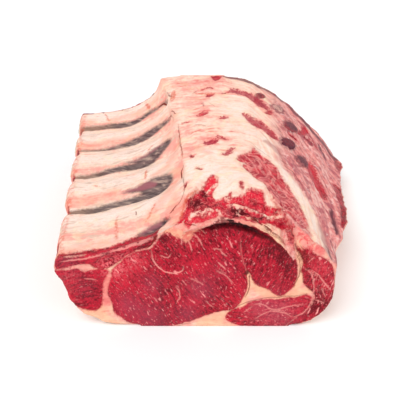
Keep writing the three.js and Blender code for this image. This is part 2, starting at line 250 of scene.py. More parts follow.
FACE_SALMONS = (  # salmon-stained fat in the cut face: (x, z, radius, strength)
    (-32, 92, 13, 0.4), (-50, 96, 8, 0.4), (4, 110, 22, 0.6), (-104, 40, 10, 0.4), (-120, 66, 10, 0.4),
    (46, 36, 12, 0.5), (70, 36, 8, 0.3),
)
FACE_GLOWS = (  # paler, rosy lean in the cut face: (x, z, radius, strength)
    (-94, 64, 12, 0.9), (-80, 70, 9, 0.7), (-100, 54, 8, 0.6), (52, 10, 26, 0.4), (-142, 52, 9, 0.5),
    (98, 62, 9, 0.4), (98, 44, 15, 0.3), (-106, 63, 8, 0.9),
)
FACE_SMEARS = (  # shreds of lean in the fat of the cut face: (x, z, radius, strength)
    (88, 84, 13, 0.35), (74, 92, 9, 0.6), (-32, 92, 12, 0.6), (98, 78, 8, 0.5), (60, 34, 9, 0.4),
    (-146, 30, 6, 0.6), (-90, 92, 14, 0.3), (-106, 42, 12, 1), (-109, 24, 9, 0.8),
)
FACE_RAGGED = (  # torn places of the cut face: (x, z, radius, strength)
    (-30, 92, 9, 0.9), (-44, 97, 6, 0.5), (84, 86, 14, 1), (-148, 34, 8, 0.8), (70, 92, 8, 0.8),
)
SUNK_DARK_PIT = (27, 55, 3, 0.7)  # sunk pit between eye and cap, in the crevice's shadow colours: (x, z, radius, strength)
FACE_SPOTS = {"tone": FACE_TONES, "dull": FACE_DULLS, "salmon": FACE_SALMONS, "smear": FACE_SMEARS}
# The shadow in this crevice, under the fat that hangs over it, is painted near black with a dark red fringe.
CREVICE = (  # gap between the eye and the fat that hangs over it, as an (x, z, half width) line
    (-16, 95, -1.5), (-9, 98, 1.5), (0, 101, 3), (8, 102, 3.4), (18, 100, 2.4), (28, 96, 1), (38, 91, 0),
    (48, 86, -1), (58, 79, -2), (66, 71, -3),
)
# Places across the back cut, and those that they match in the front cut, with its share of the height.
BACK_X = (-170, -68, 38, 165)
FRONT_X = (-152, -60, 22, 108)
FRONT_HEIGHT = 0.8
# Marbling flecks: length, width, size in their cell, share kept and how clearly they show.
FLECKS = ((11, 3.2, 0.42, 0.16, 0.8), (6, 1.9, 0.42, 0.26, 0.6), (3.2, 1.5, 0.42, 0.26, 0.42))

# Lean meat that shows through the fat on top, as (x, y) outlines, with how deep a red it is and
# how fibrous it is.
TOP_LEAN = (
    ("field", -0.25, 1, (
        (20, -37), (24, -30), (31, -26), (36, -18), (38, -11), (42, -14), (46, -19), (50, -22), (55, -26),
        (60, -33), (64, -40), (68, -46), (71, -55), (76, -64), (79, -75), (82, -84), (84, -91), (85, -101),
        (84, -115), (77, -115), (72, -110), (67, -105), (62, -101), (57, -94), (52, -89), (50, -86),
        (48, -78), (44, -71), (38, -66), (33, -59), (28, -54), (25, -49), (29, -44), (23, -42),
    )),
    ("torn", 0.05, 0, (
        (-40, -121), (-36, -105), (-31, -100), (-32, -94), (-27, -94), (-23, -86), (-19, -81), (-14, -76),
        (-11, -70), (-8, -66), (-4, -67), (-1, -70), (-1, -77), (-5, -82), (-5, -90), (-1, -94), (5, -93),
        (11, -88), (12, -95), (17, -94), (23, -91), (27, -86), (32, -83), (38, -83), (43, -85), (44, -90),
        (46, -94), (51, -94), (57, -95), (62, -101), (66, -109), (70, -116), (66, -114), (61, -113),
        (55, -114), (47, -116), (40, -119), (32, -121), (24, -120), (17, -120), (10, -119), (3, -117),
        (-5, -117), (-10, -119), (-16, -121), (-23, -120), (-28, -123), (-32, -120),
    )),
    ("torn end", 0.4, 0.5, (
        (64, -113), (70, -114), (76, -119), (81, -124), (83, -129), (76, -130), (70, -124), (66, -119),
    )),
    ("upper bar", 0.45, 0.45, (
        (19, 112), (29, 114), (37, 113), (44, 111), (52, 107), (58, 104), (63, 98), (66, 93), (61, 86),
        (54, 86), (47, 90), (41, 95), (34, 99), (26, 101), (19, 104),
    )),
    ("lower bar", 0.4, 0.45, (
        (31, 57), (37, 57), (42, 53), (49, 54), (53, 54), (57, 48), (62, 43), (66, 38), (70, 32), (69, 24),
        (62, 23), (57, 29), (51, 33), (45, 35), (39, 38), (35, 44),
    )),
    ("red nick", 0.1, 0.4, ((59, 78), (66, 90), (70, 88), (65, 75))),
    ("red corner", 0.1, 0.1, (
        (99, 77), (103, 92), (108, 104), (112, 116), (118, 122), (122, 113), (116, 102), (108, 90),
    )),
    ("dark bar", 0.9, 0.1, ((108, 91), (117, 97), (122, 90), (124, 82), (117, 77), (111, 84))),
    ("red strip", 0, 0.15, (
        (105, 31), (112, 37), (115, 31), (117, 22), (119, 12), (121, 5), (124, -6), (122, -18), (116, -24),
        (112, -14), (107, -12), (103, -4), (102, 6), (101, 14),
    )),
    ("flap", 0.7, 0.1, (
        (140, 34), (147, 36), (153, 22), (152, 0), (149, -22), (144, -44), (139, -56), (131, -60),
        (133, -48), (136, -28), (138, -10), (139, 9),
    )),
    ("strip end", 0.6, 0.1, (
        (-156, -127), (-142, -124), (-124, -123), (-108, -123), (-97, -121), (-88, -117), (-79, -111),
        (-69, -108), (-62, -105), (-53, -101), (-47, -99), (-50, -104), (-56, -109), (-58, -120),
        (-59, -134), (-80, -134), (-120, -134), (-156, -134),
    )),
    ("scrap", 0.75, 0.4, ((157, 104), (165, 108), (171, 102), (168, 90), (158, 82), (155, 88))),
    ("patch 1", -0.2, 0.3, ((-21, 49), (-16, 55), (-9, 57), (-10, 50), (-14, 45))),
    ("patch 2", 0.1, 0.3, ((3, 39), (8, 46), (15, 48), (11, 40))),
    ("patch 3", 0.1, 0.3, ((-12, 93), (-6, 98), (0, 97), (-6, 89))),
    ("patch 4", 0.15, 0.4, ((-14, -6), (-9, -3), (-3, -2), (2, 3), (0, -6), (-4, -11), (-10, -13))),
    ("patch 5", 0.1, 0.5, ((4, -30), (10, -25), (18, -17), (15, -28), (9, -33))),
    ("back nick", 0.1, 0.2, ((-4, 152), (8, 151), (8, 138), (2, 130), (-3, 138))),
    ("low corner", 0.45, 0.8, ((72, -126), (80, -122), (90, -126), (100, -133), (98, -142), (84, -140))),
)
RAGGED_PLACES = (  # torn fat on top: (x, y, radius, strength)
    (78, -120, 10, 0.8), (92, -112, 7, 0.3), (70, -118, 8, 0.9), (60, -122, 8, 0.7), (88, -134, 8, 0.4),
)
# Lean strips on top, as (x, y, half width) lines.
TOP_STRIPS = (
    (0.7, ((121, 106, 1.6), (125, 97, 2.6), (128, 88, 1.6))),
    (0.3, ((86, 61, 1), (92, 59, 2.6), (98, 55, 1))),
    (0.4, ((-28, -26, 1.2), (-25, -31, 1.2))),
    (0.6, ((22, -79, 2), (23, -84, 1.6))),
    (0.4, ((-31, -70, 1.2), (-32, -75, 1.2))),
    (0.3, ((-15, 78, 0.8), (-13, 69, 0.8))),
    (0.2, ((-38, 37, 0.9), (-31, 37, 1.2))),
    (0.4, ((3, 2, 1.1), (7, 0, 1.6), (12, -4, 1))),
    (0.4, ((-21, -51, 1.3), (-16, -55, 1.1))),
    (0.3, ((-15, 110, 0.8), (-8, 112, 1.2), (-2, 110, 0.8))),
    (0.4, ((9, 100, 0.8), (17, 103, 1.1))),
)
# Darker and brighter places on top: (x, y, radius, change of tone).
# In the torn flesh the darker places are its hollows: they sink, and are painted darker as shade.
TOP_TONES = (
    (-14, -84, 5, 0.6), (-27, -97, 5, 0.6), (-18, -92, 5, 0.6), (17, -110, 6, 0.9), (22, -110, 5, 0.9),
    (3, -106, 5, 0.4), (33, -101, 6, 0.5), (35, -114, 6, 0.5), (60, -106, 6, 0.5), (50, -112, 4, 0.4),
    (-32, -112, 7, -0.5), (-18, -118, 6, -0.5), (16, -101, 4, -0.4), (50, -98, 5, -0.4), (0, -97, 5, -0.4),
    (30, -88, 5, -0.3), (-4, -75, 5, -0.4), (31, -52, 6, 0.5), (55, -45, 6, 0.4), (56, -79, 6, 0.35),
    (62, -95, 6, 0.3), (42, -36, 6, 0.2), (62, -52, 7, -0.35), (72, -62, 6, -0.4), (79, -92, 6, -0.5),
    (80, -105, 5, -0.4), (68, -80, 5, -0.1), (118, 8, 5, 0.3), (120, -10, 6, 0.7), (110, 24, 7, -0.4),
    (30, 108, 8, 0.2), (58, 95, 6, -0.2), (66, 33, 6, -0.2), (40, 50, 6, 0.3), (140, -40, 8, 0.2),
    (150, 10, 8, 0.1),
)
# Blood smeared over the fat on top: (x, y, radius, strength).
SMEARS = (
    (-30, 120, 26, 0.45), (0, 135, 22, 0.45), (-20, 95, 20, 0.25), (10, 110, 20, 0.2), (-28, 65, 18, 0.3),
    (-8, 50, 20, 0.3), (-30, 20, 16, 0.3), (-10, 5, 20, 0.35), (12, -12, 16, 0.25), (-26, -20, 14, 0.35),
    (90, 110, 26, 0.3), (100, 40, 26, 0.35), (110, -20, 26, 0.3), (112, -90, 26, 0.3), (130, 60, 26, 0.3),
    (70, 100, 24, 0.2), (36, 30, 12, -0.2), (30, 60, 20, -0.3), (70, -45, 20, -0.4), (86, -100, 20, -0.3),
)
# Fat left standing in the torn flesh, as (x, y, half width) lines.
FAT_STRANDS = (
    ((-27, -111, 1.3), (-21, -106, 1.8), (-15, -108, 1.5), (-12, -104, 1.2), (-7, -108, 0.9),
     (-10, -113, 0.7)),
    ((-3, -107, 0.6), (1, -112, 1), (-1, -117, 0.9)),
    ((10, -105, 1), (18, -106, 1.6), (24, -104, 1)),
    ((23, -104, 0.6), (33, -107, 1), (40, -109, 1.2), (48, -107, 1.4), (56, -101, 1.2), (62, -101, 0.8)),
    ((17, -112, 0.5), (25, -117, 0.8), (35, -117, 0.5)),
    ((4, -92, 1), (9, -97, 1.2), (10, -102, 0.8)),
    ((-2, -76, 0.7), (-9, -80, 1), (-12, -86, 0.7)),
    ((71, -112, 1.4), (77, -118, 2.2), (82, -123, 2), (86, -129, 1.4)),
)
# Membranes between the ribs, as (x, y, half width) lines, front to back.
MEMBRANES = (
    ((-157, -62, 4), (-141, -60, 5), (-129, -60, 6), (-117, -57, 6), (-105, -53, 5.4), (-92, -52, 5),
     (-78, -50, 6), (-66, -46, 8)),
    ((-159, 3, 2.6), (-143, 3, 3.6), (-130, 6, 3.8), (-116, 10, 4.2), (-103, 11, 4.6), (-89, 10, 5),
     (-77, 11, 6), (-66, 16, 6)),
    ((-162, 56, 1.8), (-142, 56, 2), (-124, 58, 2.8), (-110, 60, 3.8), (-98, 62, 4.8), (-88, 64, 5.6),
     (-77, 67, 5.4), (-67, 69, 4), (-59, 69, 2.6), (-53, 68, 1)),
    ((-166, 106, 4.4), (-147, 107, 4.6), (-130, 109, 4.8), (-118, 108, 5), (-105, 108, 4.6),
     (-93, 111, 3.6), (-80, 115, 3), (-71, 114, 1.6), (-61, 112, 1.4), (-52, 99, 1)),
)
# Where a membrane widens towards the backbone, as (x, y) outlines.
MEMBRANE_ENDS = (
    ((-78, -110), (-68, -104), (-61, -101), (-53, -100), (-45, -102), (-51, -105), (-58, -108), (-66, -111)),
    ((-100, -38), (-87, -35), (-76, -32), (-67, -30), (-58, -31), (-49, -34), (-45, -40), (-48, -46),
     (-54, -52), (-61, -57), (-70, -58), (-76, -50), (-80, -43), (-90, -41)),
    ((-104, 19), (-93, 19), (-83, 21), (-74, 25), (-65, 27), (-56, 28), (-50, 25), (-53, 19), (-59, 15),
     (-66, 10), (-76, 8), (-86, 12)),
)
MEMBRANE_REDS = (  # red flesh at the upper edge of those ends, as (x, y, half width) lines
    ((-103, -38, 1), (-87, -36, 3.2), (-77, -36, 4.6), (-66, -38, 2.6)),
    ((-108, 20, 0.8), (-94, 19, 1.4), (-83, 21, 2.2), (-74, 25, 2.6), (-60, 27, 1.2)),
    ((-80, -110, 1), (-68, -105, 2.4), (-57, -102, 2.4)),
)
# Salmon blush, as (x, y, half width) lines.
BLUSHES = (
    ((-160, 66, 5), (-143, 66, 5), (-126, 69, 4.5), (-107, 70, 4), (-89, 73, 4), (-75, 75, 4), (-63, 77, 3)),
    ((-132, 120, 3), (-113, 123, 4), (-97, 123, 4.5), (-83, 125, 5), (-73, 127, 4)),
    ((-160, -46, 6), (-139, -43, 6), (-123, -40, 6), (-107, -36, 4)),
    ((-48, 66, 3), (-49, 50, 5), (-51, 38, 6), (-58, 31, 5)),
    ((-43, 10, 3), (-46, -8, 5), (-50, -20, 5), (-66, -27, 4)),
    ((-68, -92, 4), (-57, -80, 6), (-47, -62, 6), (-41, -38, 4)),
    ((-154, -125, 6), (-132, -119, 5), (-113, -117, 5), (-93, -116, 4)),
    ((-168, 118, 5), (-155, 120, 4)),
    ((-66, 148, 6), (-66, 137, 6)),
    ((125, 35, 4), (130, 18, 6), (132, -8, 7), (130, -33, 6), (127, -60, 5)),
    ((-44, -78, 5), (-40, -100, 7), (-36, -120, 7)),
    ((70, -12, 5), (82, -30, 5)),
)
# Old blood, as (x, y, half width) lines.
BLOOD = (
    ((-75, -10, 1.4), (-76, -20, 2), (-75, -28, 0.6)),
    ((-100, -78, 0.8), (-100, -92, 1.5), (-97, -112, 1.8)),
    ((-142, 144, 1), (-139, 134, 1.3), (-133, 119, 1.4)),
    ((-62, -77, 1), (-65, -86, 1.3), (-69, -96, 1.3)),
    ((-131, -20, 1.2), (-125, -22, 1.6)),
    ((-87, 136, 2), (-82, 122, 2.6)),
    ((-50, 110, 2.2), (-50, 98, 4), (-51, 88, 2)),
    ((-72, 33, 1.4), (-76, 26, 1.4)),
    ((-41, 24, 0.6), (-39, 1, 1.3), (-37, -16, 1.2), (-35, -28, 0.6)),
    ((-30, 15, 0.8), (-22, 15, 1.2), (-13, 12, 0.8)),
    ((-24, 29, 0.7), (-12, 23, 0.8)),
    ((-24, 103, 1), (-14, 100, 1.8), (-2, 96, 1.6)),
    ((-36, -106, 1.5), (-33, -96, 2.4), (-27, -88, 2), (-20, -80, 1)),
)
# Dark cracks and nicks on top: how clearly each shows, and its (x, y) line.
CRACKS = (
    (0.6, ((-42, 40), (-41, 21), (-39, 1), (-37, -14), (-35, -27))),
    (1, ((-34, -38), (-37, -40), (-36, -50))),
    (0.5, ((-36, -50), (-34, -65), (-33, -80), (-36, -88), (-42, -95))),
    (1, ((-71, 114), (-64, 114), (-58, 106), (-51, 100))),
    (0.7, ((-56, 71), (-51, 69), (-47, 60), (-45, 57))),
    (0.4, ((-27, 102), (-20, 110))),
    (0.4, ((-24, 29), (-17, 28), (-10, 22))),
    (0.4, ((-23, -52), (-15, -57))),
    (1, ((-47, -97), (-40, -91))),
    (0.8, ((-82, -78), (-80, -85))),
    (0.8, ((66, -14), (72, -14), (76, -12))),
    (0.8, ((71, -21), (81, -23), (87, -34), (91, -44))),
    (0.3, ((47, 30), (56, 12), (66, 2), (76, -6))),
    (0.3, ((34, -2), (48, -14), (58, -20))),
    (0.5, ((70, 66), (76, 52), (80, 44))),
    (0.3, ((-8, 78), (0, 66))),
    (1, ((28, -117), (38, -119), (47, -121), (56, -125))),
    (0.8, ((40, -122), (50, -124), (58, -127))),
    (0.7, ((-36, -116), (-30, -118), (-20, -123))),
)
# Bands on the sawn slope, as (x, y, half width) lines: grey-pink skin, dark dried rims and
# furrows, and rosy flesh, each with how clearly it shows.
GREY_SKINS = (
    (0.5, ((14, 146, 4), (33, 143, 5), (52, 141, 5), (69, 139, 5), (88, 141, 5), (104, 137, 5),
           (120, 130, 6), (138, 119, 6), (150, 104, 4))),
    (0.7, ((87, -34, 4), (98, -40, 5), (105, -48, 6), (107, -60, 6), (106, -80, 6), (106, -101, 6),
           (105, -128, 5))),
    (0.5, ((78, -18, 3), (88, -14, 4), (94, -2, 3))),
    (0.6, ((68, 8, 3), (78, 2, 4), (88, -10, 3))),
    (0.6, ((54, 8, 3), (64, 1, 5), (74, -10, 3))),
    (0.45, ((122, 60, 3), (130, 48, 3), (135, 30, 3), (138, 8, 3), (136, -20, 3))),
    (0.5, ((128, 108, 3), (137, 92, 3), (146, 72, 4), (152, 50, 4))),
)
DARK_SKINS = (
    (0.85, ((10, 147, 3), (33, 143, 5), (45, 141, 4), (66, 141, 3), (93, 142, 5), (108, 137, 5),
            (120, 133, 5), (127, 128, 5), (148, 121, 5), (158, 112, 5))),
    (0.95, ((76, 141, 2), (86, 145, 5), (97, 143, 4))),
    (0.9, ((134, 109, 1.6), (135, 97, 2))),
    (0.9, ((138, 96, 1.5), (140, 86, 1.8))),
    (1, ((124, -30, 0.8), (123, -42, 2.2), (123, -54, 2.4), (122, -66, 2.6), (121, -80, 1.2))),
    (0.85, ((105, -114, 1), (105, -124, 1.8), (106, -136, 1.4))),
    (0.6, ((112, -96, 1), (113, -112, 1.4), (112, -128, 1))),
    (0.8, ((154, 116, 2), (158, 104, 2.4), (156, 92, 2))),
    (0.45, ((101, 116, 2), (112, 100, 2.4), (121, 84, 2), (128, 66, 1.4))),
)
ROSY_SKINS = (
    (0.7, ((117, 72, 2.5), (124, 60, 3.6), (132, 54, 4), (139, 47, 4), (143, 33, 4), (143, 12, 4))),
    (0.6, ((111, 77, 1.6), (118, 62, 2.4), (124, 45, 2.4), (130, 33, 2.4), (135, 14, 2))),
    (0.5, ((96, 118, 3), (104, 108, 4), (126, 100, 4), (140, 84, 3))),
    (0.45, ((99, 60, 2), (106, 44, 3), (112, 34, 2))),
    (0.4, ((112, -24, 2), (116, -44, 3), (116, -70, 3), (115, -100, 2))),
    (0.5, ((76, 4, 3), (86, 2, 4), (98, -14, 3))),
    (0.35, ((-48, 122, 4), (-30, 128, 5), (-10, 132, 4))),
    (0.3, ((-36, 76, 4), (-24, 80, 5), (-8, 84, 3))),
    (0.3, ((-34, -10, 3), (-20, -18, 5), (-8, -28, 3))),
)
PALE_BANDS = (  # cream fat down the sawn slope, as (x, y, half width) lines
    ((48, -16, 7), (57, -29, 8), (70, -44, 9), (80, -62, 9), (88, -76, 9), (94, -92, 8), (96, -112, 8),
     (98, -134, 8)),
    ((40, 18, 5), (52, 6, 4), (64, -6, 3)),
)
WHITE_ZONE = (  # the whitest fat, as an (x, y) outline
    (-30, -40), (-18, -20), (5, -8), (20, -20), (14, -38), (26, -58), (38, -72), (48, -88), (44, -94),
    (30, -80), (14, -86), (-3, -88), (-8, -62), (-22, -78),
)
TOP_SKINS = {"grey": GREY_SKINS, "dusk": DARK_SKINS, "rosy": ROSY_SKINS}
# The stains on top: the mark, its lines and the distances at which it starts and is full.
TOP_STAINS = (
    ("warm", MEMBRANE_REDS, -2, 1.5),
    ("blood", BLOOD, -2.2, 1.6),
    ("salmon", BLUSHES, -5, 4),
    ("pale", PALE_BANDS, -7, 2),
)
# Noises of the shape: the size of their lumps in millimetres, and their seed.
LUMPS = {
    "bend": (9, 1), "sway": (8, 9), "fray": (5, 11), "broad lump": (21, 2), "fine lump": (7, 3),
    "ridge": (5.5, 4), "shred": (10.5, 5), "fine shred": (5, 6),
    "rib pore": (1.6, 7), "chine pore": (2.6, 8), "chine pit": (6, 10),
}
SEED_STEP = 17.3  # shift from one noise to the next
SLOPE_LENGTH = 120  # from the top of the sawn slope to its foot
FAN_FROM = 20  # behind this the streaks of the slope fan out
FAN_REACH = 16
# From which share on a corner takes the way of the slope's, or of the bared field's, fibres.
FLOW_DOWN = 0.05
FLOW_TOP = 0.2
FLOW_FIELD = 0.02
RIDGE_STRETCH = (0.12, 1, 1)  # long along the fibres
# Relief of the flesh in millimetres.
SLOPE_RIDGE = 0.7
RIB_RIDGE = 0.35
FIELD_RIDGE = 0.8
STRAND_RISE = 1
LIP_SHRED = 1.3
MUSCLE_RISE = 0.5
FOLD_DEPTH = 2.4
MEMBRANE_SINK = 0.8
SEAM_DEPTH = 0.5
CRACK_DEPTH = 0.8
CRACK_WIDTH = 1.3
SEAM_WIDTH = 1.2
FOLD_TONE = 0.5  # folds sink where the lean is deeper than this
FOLD_FULL = 0.8
FINE_LUMP = 0.4
FINE_SHRED = 0.6
CUT_FLATNESS = 0.65  # how much lower the lumps are in the cut faces
RIB_FLATNESS = 0.6
# How pink the fat is: at the sides, on top, near the ridge, in the pale bands, in the white zone, at
# the top and foot of the slope, and across each rib as (strength, middle, width) in shares of it.
SIDE_BLUSH = 0.38
FACE_BLUSH = 0.56
FACE_BLUSH_SHARE = 0.8
RIDGE_BACK = 6
RIDGE_WIDTH = 12
TOP_BLUSH = 0.17
RIDGE_BLUSH = 0.14
PALE_BLUSH = 0.05
WHITE_BLUSH = 0.02
SLOPE_BLUSH = (0.14, 0.56)
# Across each rib a salmon band, and a negative band that whitens its crest as a painted highlight.
RIB_BLUSH_AND_HIGHLIGHT = ((0.48, 0.2, 0.13), (-0.34, 0.62, 0.22))
GROOVE_COUNTS = (-0.3, 0, 1, 2, 3, 4, 4.9)  # how many grooves lie before each one and the two cuts
# Soft edges: where a mark starts and where it is full, as distances or shares.
MUSCLE_EDGE = (-1.2, 1.2)
GLOW_EDGE = (0, 2)
CREAM_EDGE = (-3, 3)
BUTTER_EDGE = (-3, 1)
LEAN_EDGE = (-1.5, 1.5)
TORN_EDGE = (-1, 3)
PATCH_EDGE = (-4, 2)
RAGGED_EDGE = (-6, 0)
STRIP_EDGE = (-1.2, 1)
STRAND_EDGE = (-1.5, 1)
SKIN_EDGE = (-2.5, 1.5)
WHITE_EDGE = (-8, 4)
CREVICE_EDGE = (-4, 1.5)
CREVICE_TOP = (0, 3)
SUNK_EDGE = (-0.6, 1.6)
MUSCLE_SWELL = (-0.5, 5)
MEMBRANE_EDGE = (-1, 1.5)
OFF_FLOOR = (0.5, 5)
PINK_SLOPE = (0.25, 0.65)
BANDED_SLOPE = (0.15, 0.4)
# The sawn rib ends: how far in they go, how deep a red and how pink, and the blood along them.
GROOVE_HALF = 8
END_TONE = 0.75
END_BLUSH = 0.6
END_BLOOD = 0.7
BLOODY_END = (8, 2)
# The fat lip over the eye: its band over the crown, and how torn, cracked, yellow and rosy it is.
LIP_SEEN = (3, 3.5)
LIP_TORN = 0.45
LIP_CLEAR = 0.25
LIP_SEAMS = 0.6
LIP_BUTTER = (12, 30)
LIP_ROSY = 0.6
LIP_ROSY_END = (26, 44)
LIP_RELIEF = (3, 4)
FRONT_DEPTH = (14, 20)  # how far behind the cut face its marks end
PATCH_DULL = 6  # how dull small patches are, by their tone
DULL_TONE = 0.1
SMEAR_STRENGTH = 1.05
RIB_FILM = 0.85
# How far the marks' edges waver: in the cut faces, on top and, beyond that, on the slope.
FACE_BEND = 0.8
TOP_BEND = 0.9
SLOPE_BEND = 1.3
LINE_TAPER = 0.2  # share of a thin line over which each of its ends fades
LINE_REACH = (2.2, 4.4)  # where a thin line starts to fade and is gone
PATCH_TORN = 0.35  # how torn the small patches of lean are
# Streaks along the fibres: their width and length in millimetres.
FIBRES = {
    "streak": (2.6, 24), "broad": (5, 28), "furrow": (8, 36),
    "fine": (1.7, 9), "coarse": (3, 13), "net": (5, 12),
}
# Winding lines, each as the noise that they are the middle of. A noise is how many lumps it has in a
# millimetre, its detail, its roughness and its distortion.
VEINS = {"torn net": (0.06, 3, 0.6, 2.6), "field vein": (0.06, 2, 0.5, 1.6)}
# Marks made uneven: the mark, and the noises that push it up and down with their strengths.
UNEVEN = {
    "blushing": ("blush", ((0.05,), 0.8), ((0.2,), 0.7), ("streak", 0.6), ("broad", 1.45)),
    "bloody": ("smear", ("broad", 3), ("streak", 1), ((0.12,), 2)),
    "furrows": ("furrow", ((0.14, 3, 0.65), 0.8)),
    "dried": ("dusk", ("streak", 2.4)),
    "redness": (
        "tone", ((0.045,), 2.2), ((0.3, 3, 0.7), 2), ("fine", 3.4), ((0.55, 3, 0.65), 2.6), ("coarse", 1.2),
    ),
    "heaps": ("tone", ((0.065, 3, 0.5, 1.6), 6)),
    "sinew way": ("sinew", ((0.5,), 2.4)),
    "crack way": ("crack", ((0.3, 2), 1.4)),
    "spill": ("blood", ((0.28, 3, 0.65), 4)),
    "ring": ("marrow", ((0.3,), 1.2)),
    # the crevice made ragged, for its painted shadow
    "gap": ("crevice", ((0.3, 4, 0.7), 2.8)),
}
# Layers of colour, the lowest first: the noise, value or mark that a layer follows, the span over
# which that brings it in, the mark that bounds it, its strength and its colour.
FAT_LAYERS = (
    ("pinkness", (-0.2, 0.3), None, 1, "fat"),
    ("pinkness", (0.2, 0.75), None, 1, "fat_pink"),
    ("pinkness", (0.8, 1.3), None, 1, (246, 140, 132)),
    ((0.075, 3, 0.6, 0.6), (0.5, 0.68), None, 0.4, (252, 226, 182)),
    ("broad", (0.5, 0.3), "film", 1, (220, 188, 168)),
    ("butter", None, None, 0.6, "fat_butter"),
    ("salmon", None, None, 0.42, (248, 146, 124)),
    ("bloody", (0.5, 1.3), None, 0.75, (232, 118, 112)),
    ("bloody", (1.1, 1.7), None, 0.6, (190, 64, 72)),
    ("rosy", None, None, 0.85, (228, 100, 98)),
    ((0.16, 3, 0.62, 1.5), (0.45, 0.56), "shreds", 0.7, (232, 70, 78)),
    ("grey", None, None, 1, "fat_grey"),
    ((0.7, 3, 0.7), (0.56, 0.7), None, 0.3, (238, 150, 140)),
    ("dashes", None, None, 0.4, (236, 130, 126)),
    ("streak thread", None, None, 0.14, (226, 140, 128)),
    ("banded", None, None, 0.7, (232, 138, 136)),
    ("furrows", (0.52, 0.3), "banded", 0.65, (160, 84, 96)),
    ("furrows", (0.52, 0.68), "banded", 0.75, (252, 200, 188)),
    ((0.08, 3, 0.6, 0.5), (0.52, 0.64), "banded", 0.7, (178, 76, 90)),
    ((0.1, 4, 0.65, 0.8), (0.54, 0.66), "banded", 0.7, (250, 206, 198)),
    ("streak", (0.42, 0.32), "banded", 0.3, (176, 56, 64)),
    ("dried", (0.2, 0.75), "dusk", 1, "dusk"),
)
LEAN_LAYERS = (
    ("depth", (0.1, 1.35), None, 1, "lean_deep"),
    ("depth", (0.2, -0.6), "bare", 1, "lean_bright"),
    ("dull", None, None, 0.8, (166, 60, 80)),
    ((0.45, 3, 0.65), (0.42, 0.58), "rosy", 0.75, (240, 110, 116)),
    # painted glints: pale pink speckles standing in for wet highlights, partly fine marbling
    ((0.8, 3, 0.7), (0.57, 0.74), None, 0.5, (244, 116, 128)),
    ("torn net", (0.02, 0.004), "torn", 0.6, (248, 150, 142)),
    ((0.34, 3, 0.65, 1), (0.52, 0.62), "torn", 0.5, (246, 100, 104)),
    # painted shade: near-black red in the deepest hollows of the torn flesh
    ("depth", (0.9, 1.5), "torn", 1, (96, 6, 20)),
    ("coarse", (0.42, 0.7), "fibre", 0.45, (248, 150, 142)),
    ("fine", (0.5, 0.68), "fibre", 0.45, (240, 150, 142)),
    ((0.3, 4, 0.75, 1), (0.48, 0.62), "fibre", 0.3, (242, 124, 120)),
    ((0.06, 2, 0.5), (0.48, 0.66), "fibre", 0.45, (182, 84, 96)),
    ("net thread", None, "fibre", 0.4, (250, 172, 164)),
    ("coarse", (0.48, 0.3), "fibre", 0.4, (152, 32, 46)),
    ((0.085, 2, 0.5, 0.8), (0.52, 0.42), "fibre", 0.7, (160, 34, 50)),
    ("field vein", (0.05, 0.015), "fibre", 0.55, (250, 166, 156)),
    ("marbling", None, None, 1, "marbling"),
    ("sinew line", (1.1, 0.25), "sinew_on", 0.72, (240, 150, 142)),
)
MEMBRANE_LAYERS = (
    ("skin fibre", (0.5, 0.72), None, 1, (182, 154, 140)),
    ("skin fibre", (0.53, 0.36), None, 1, (66, 52, 58)),
    ("left", (-112, -150), None, 0.5, (176, 132, 104)),
    ("warm", None, None, 0.75, (166, 92, 104)),
    ("membrane", (2.2, 0), None, 0.55, (160, 128, 116)),
)
STAIN_AND_SHADOW_LAYERS = (
    ("spill", (0.1, 1.3), "blood", 0.75, (220, 92, 66)),
    ("ring", (1.3, 1), None, 0.55, "dusk"),
    ("crack line", (0.9, 0.2), "crack_on", 1, (124, 34, 24)),
    # painted shadow in the crevice under the lip: a dark red fringe, then a near-black core
    ("gap", (-0.05, 0.2), "gap edge", 0.8, (120, 20, 30)),
    ("gap", (0.25, 0.85), "crevice", 1, (26, 4, 8)),
)
MEMBRANE_SLANT = math.radians(16)
MEMBRANE_FIBRES = (3.6, 26)
MEMBRANE_ROUGH = (5, 2.2)  # how ragged and how soft its edge is
MEMBRANE_SHARE = 0.94
# Where the lean meets the fat: how ragged and soft that edge is in torn fat and, as a factor and a
# base, by how marbled the lean is.
MARBLED = (0, 0.3)
TORN_RAGGED = 8
LEAN_RAGGED = (-2.6, 5.8)
LEAN_SOFT = (-0.5, 1.5)
NEAR_LEAN = (-7, 0.5)
NEAR_LEAN_PINK = 0.24
SMEAR_PINK = 0.7
FAT_DASHES = 0.9
TORN_BRIGHT = (0.4, 0.6)
FIBRE_BRIGHT = 0.5
CREVICE_SHADOW_FRINGE = (0.02, 0.16)
# The flecks' bends (lumps a millimetre, detail, reach), their hearts, and how unevenly they lie.
FLECK_BEND = (0.11, 2, 7)
FLECK_HEART = 0.3
FLECK_FADE = 0.1
FLECK_CLOUDS = (0.05, 1, 0.55)
FLECK_SPAN = (0.25, 0.65)
FLECK_SHARE = (0.5, 0.6)
STREAK_BEND = (0.035, 1, 11)
STREAK_NOISE = (1, 3, 0.6, 0.35)
THREAD_NOISE = (0.7, 2, 0.55, 0.5)
THREAD_WIDTH = 0.06
EDGE_NOISE = (0.3, 4, 0.7)
# The moist surface, and the bumps' strength and height in millimetres.
WET_PATCHES = 0.07
WET_ROUGHNESS = 0.3
UNEVEN_ROUGHNESS = 0.22
DRY_ROUGHNESS = 0.22
FILM_SPAN = (0.62, 0.4)
COAT = 0.1
COAT_ROUGHNESS = 0.2
FLESH_SHINE = 0.13
FLESH_BUMP = (0.6, 0.8)
STREAK_HEIGHT = 0.9
MARBLING_HEIGHT = 0.2
GRIT = (0.45, 4)
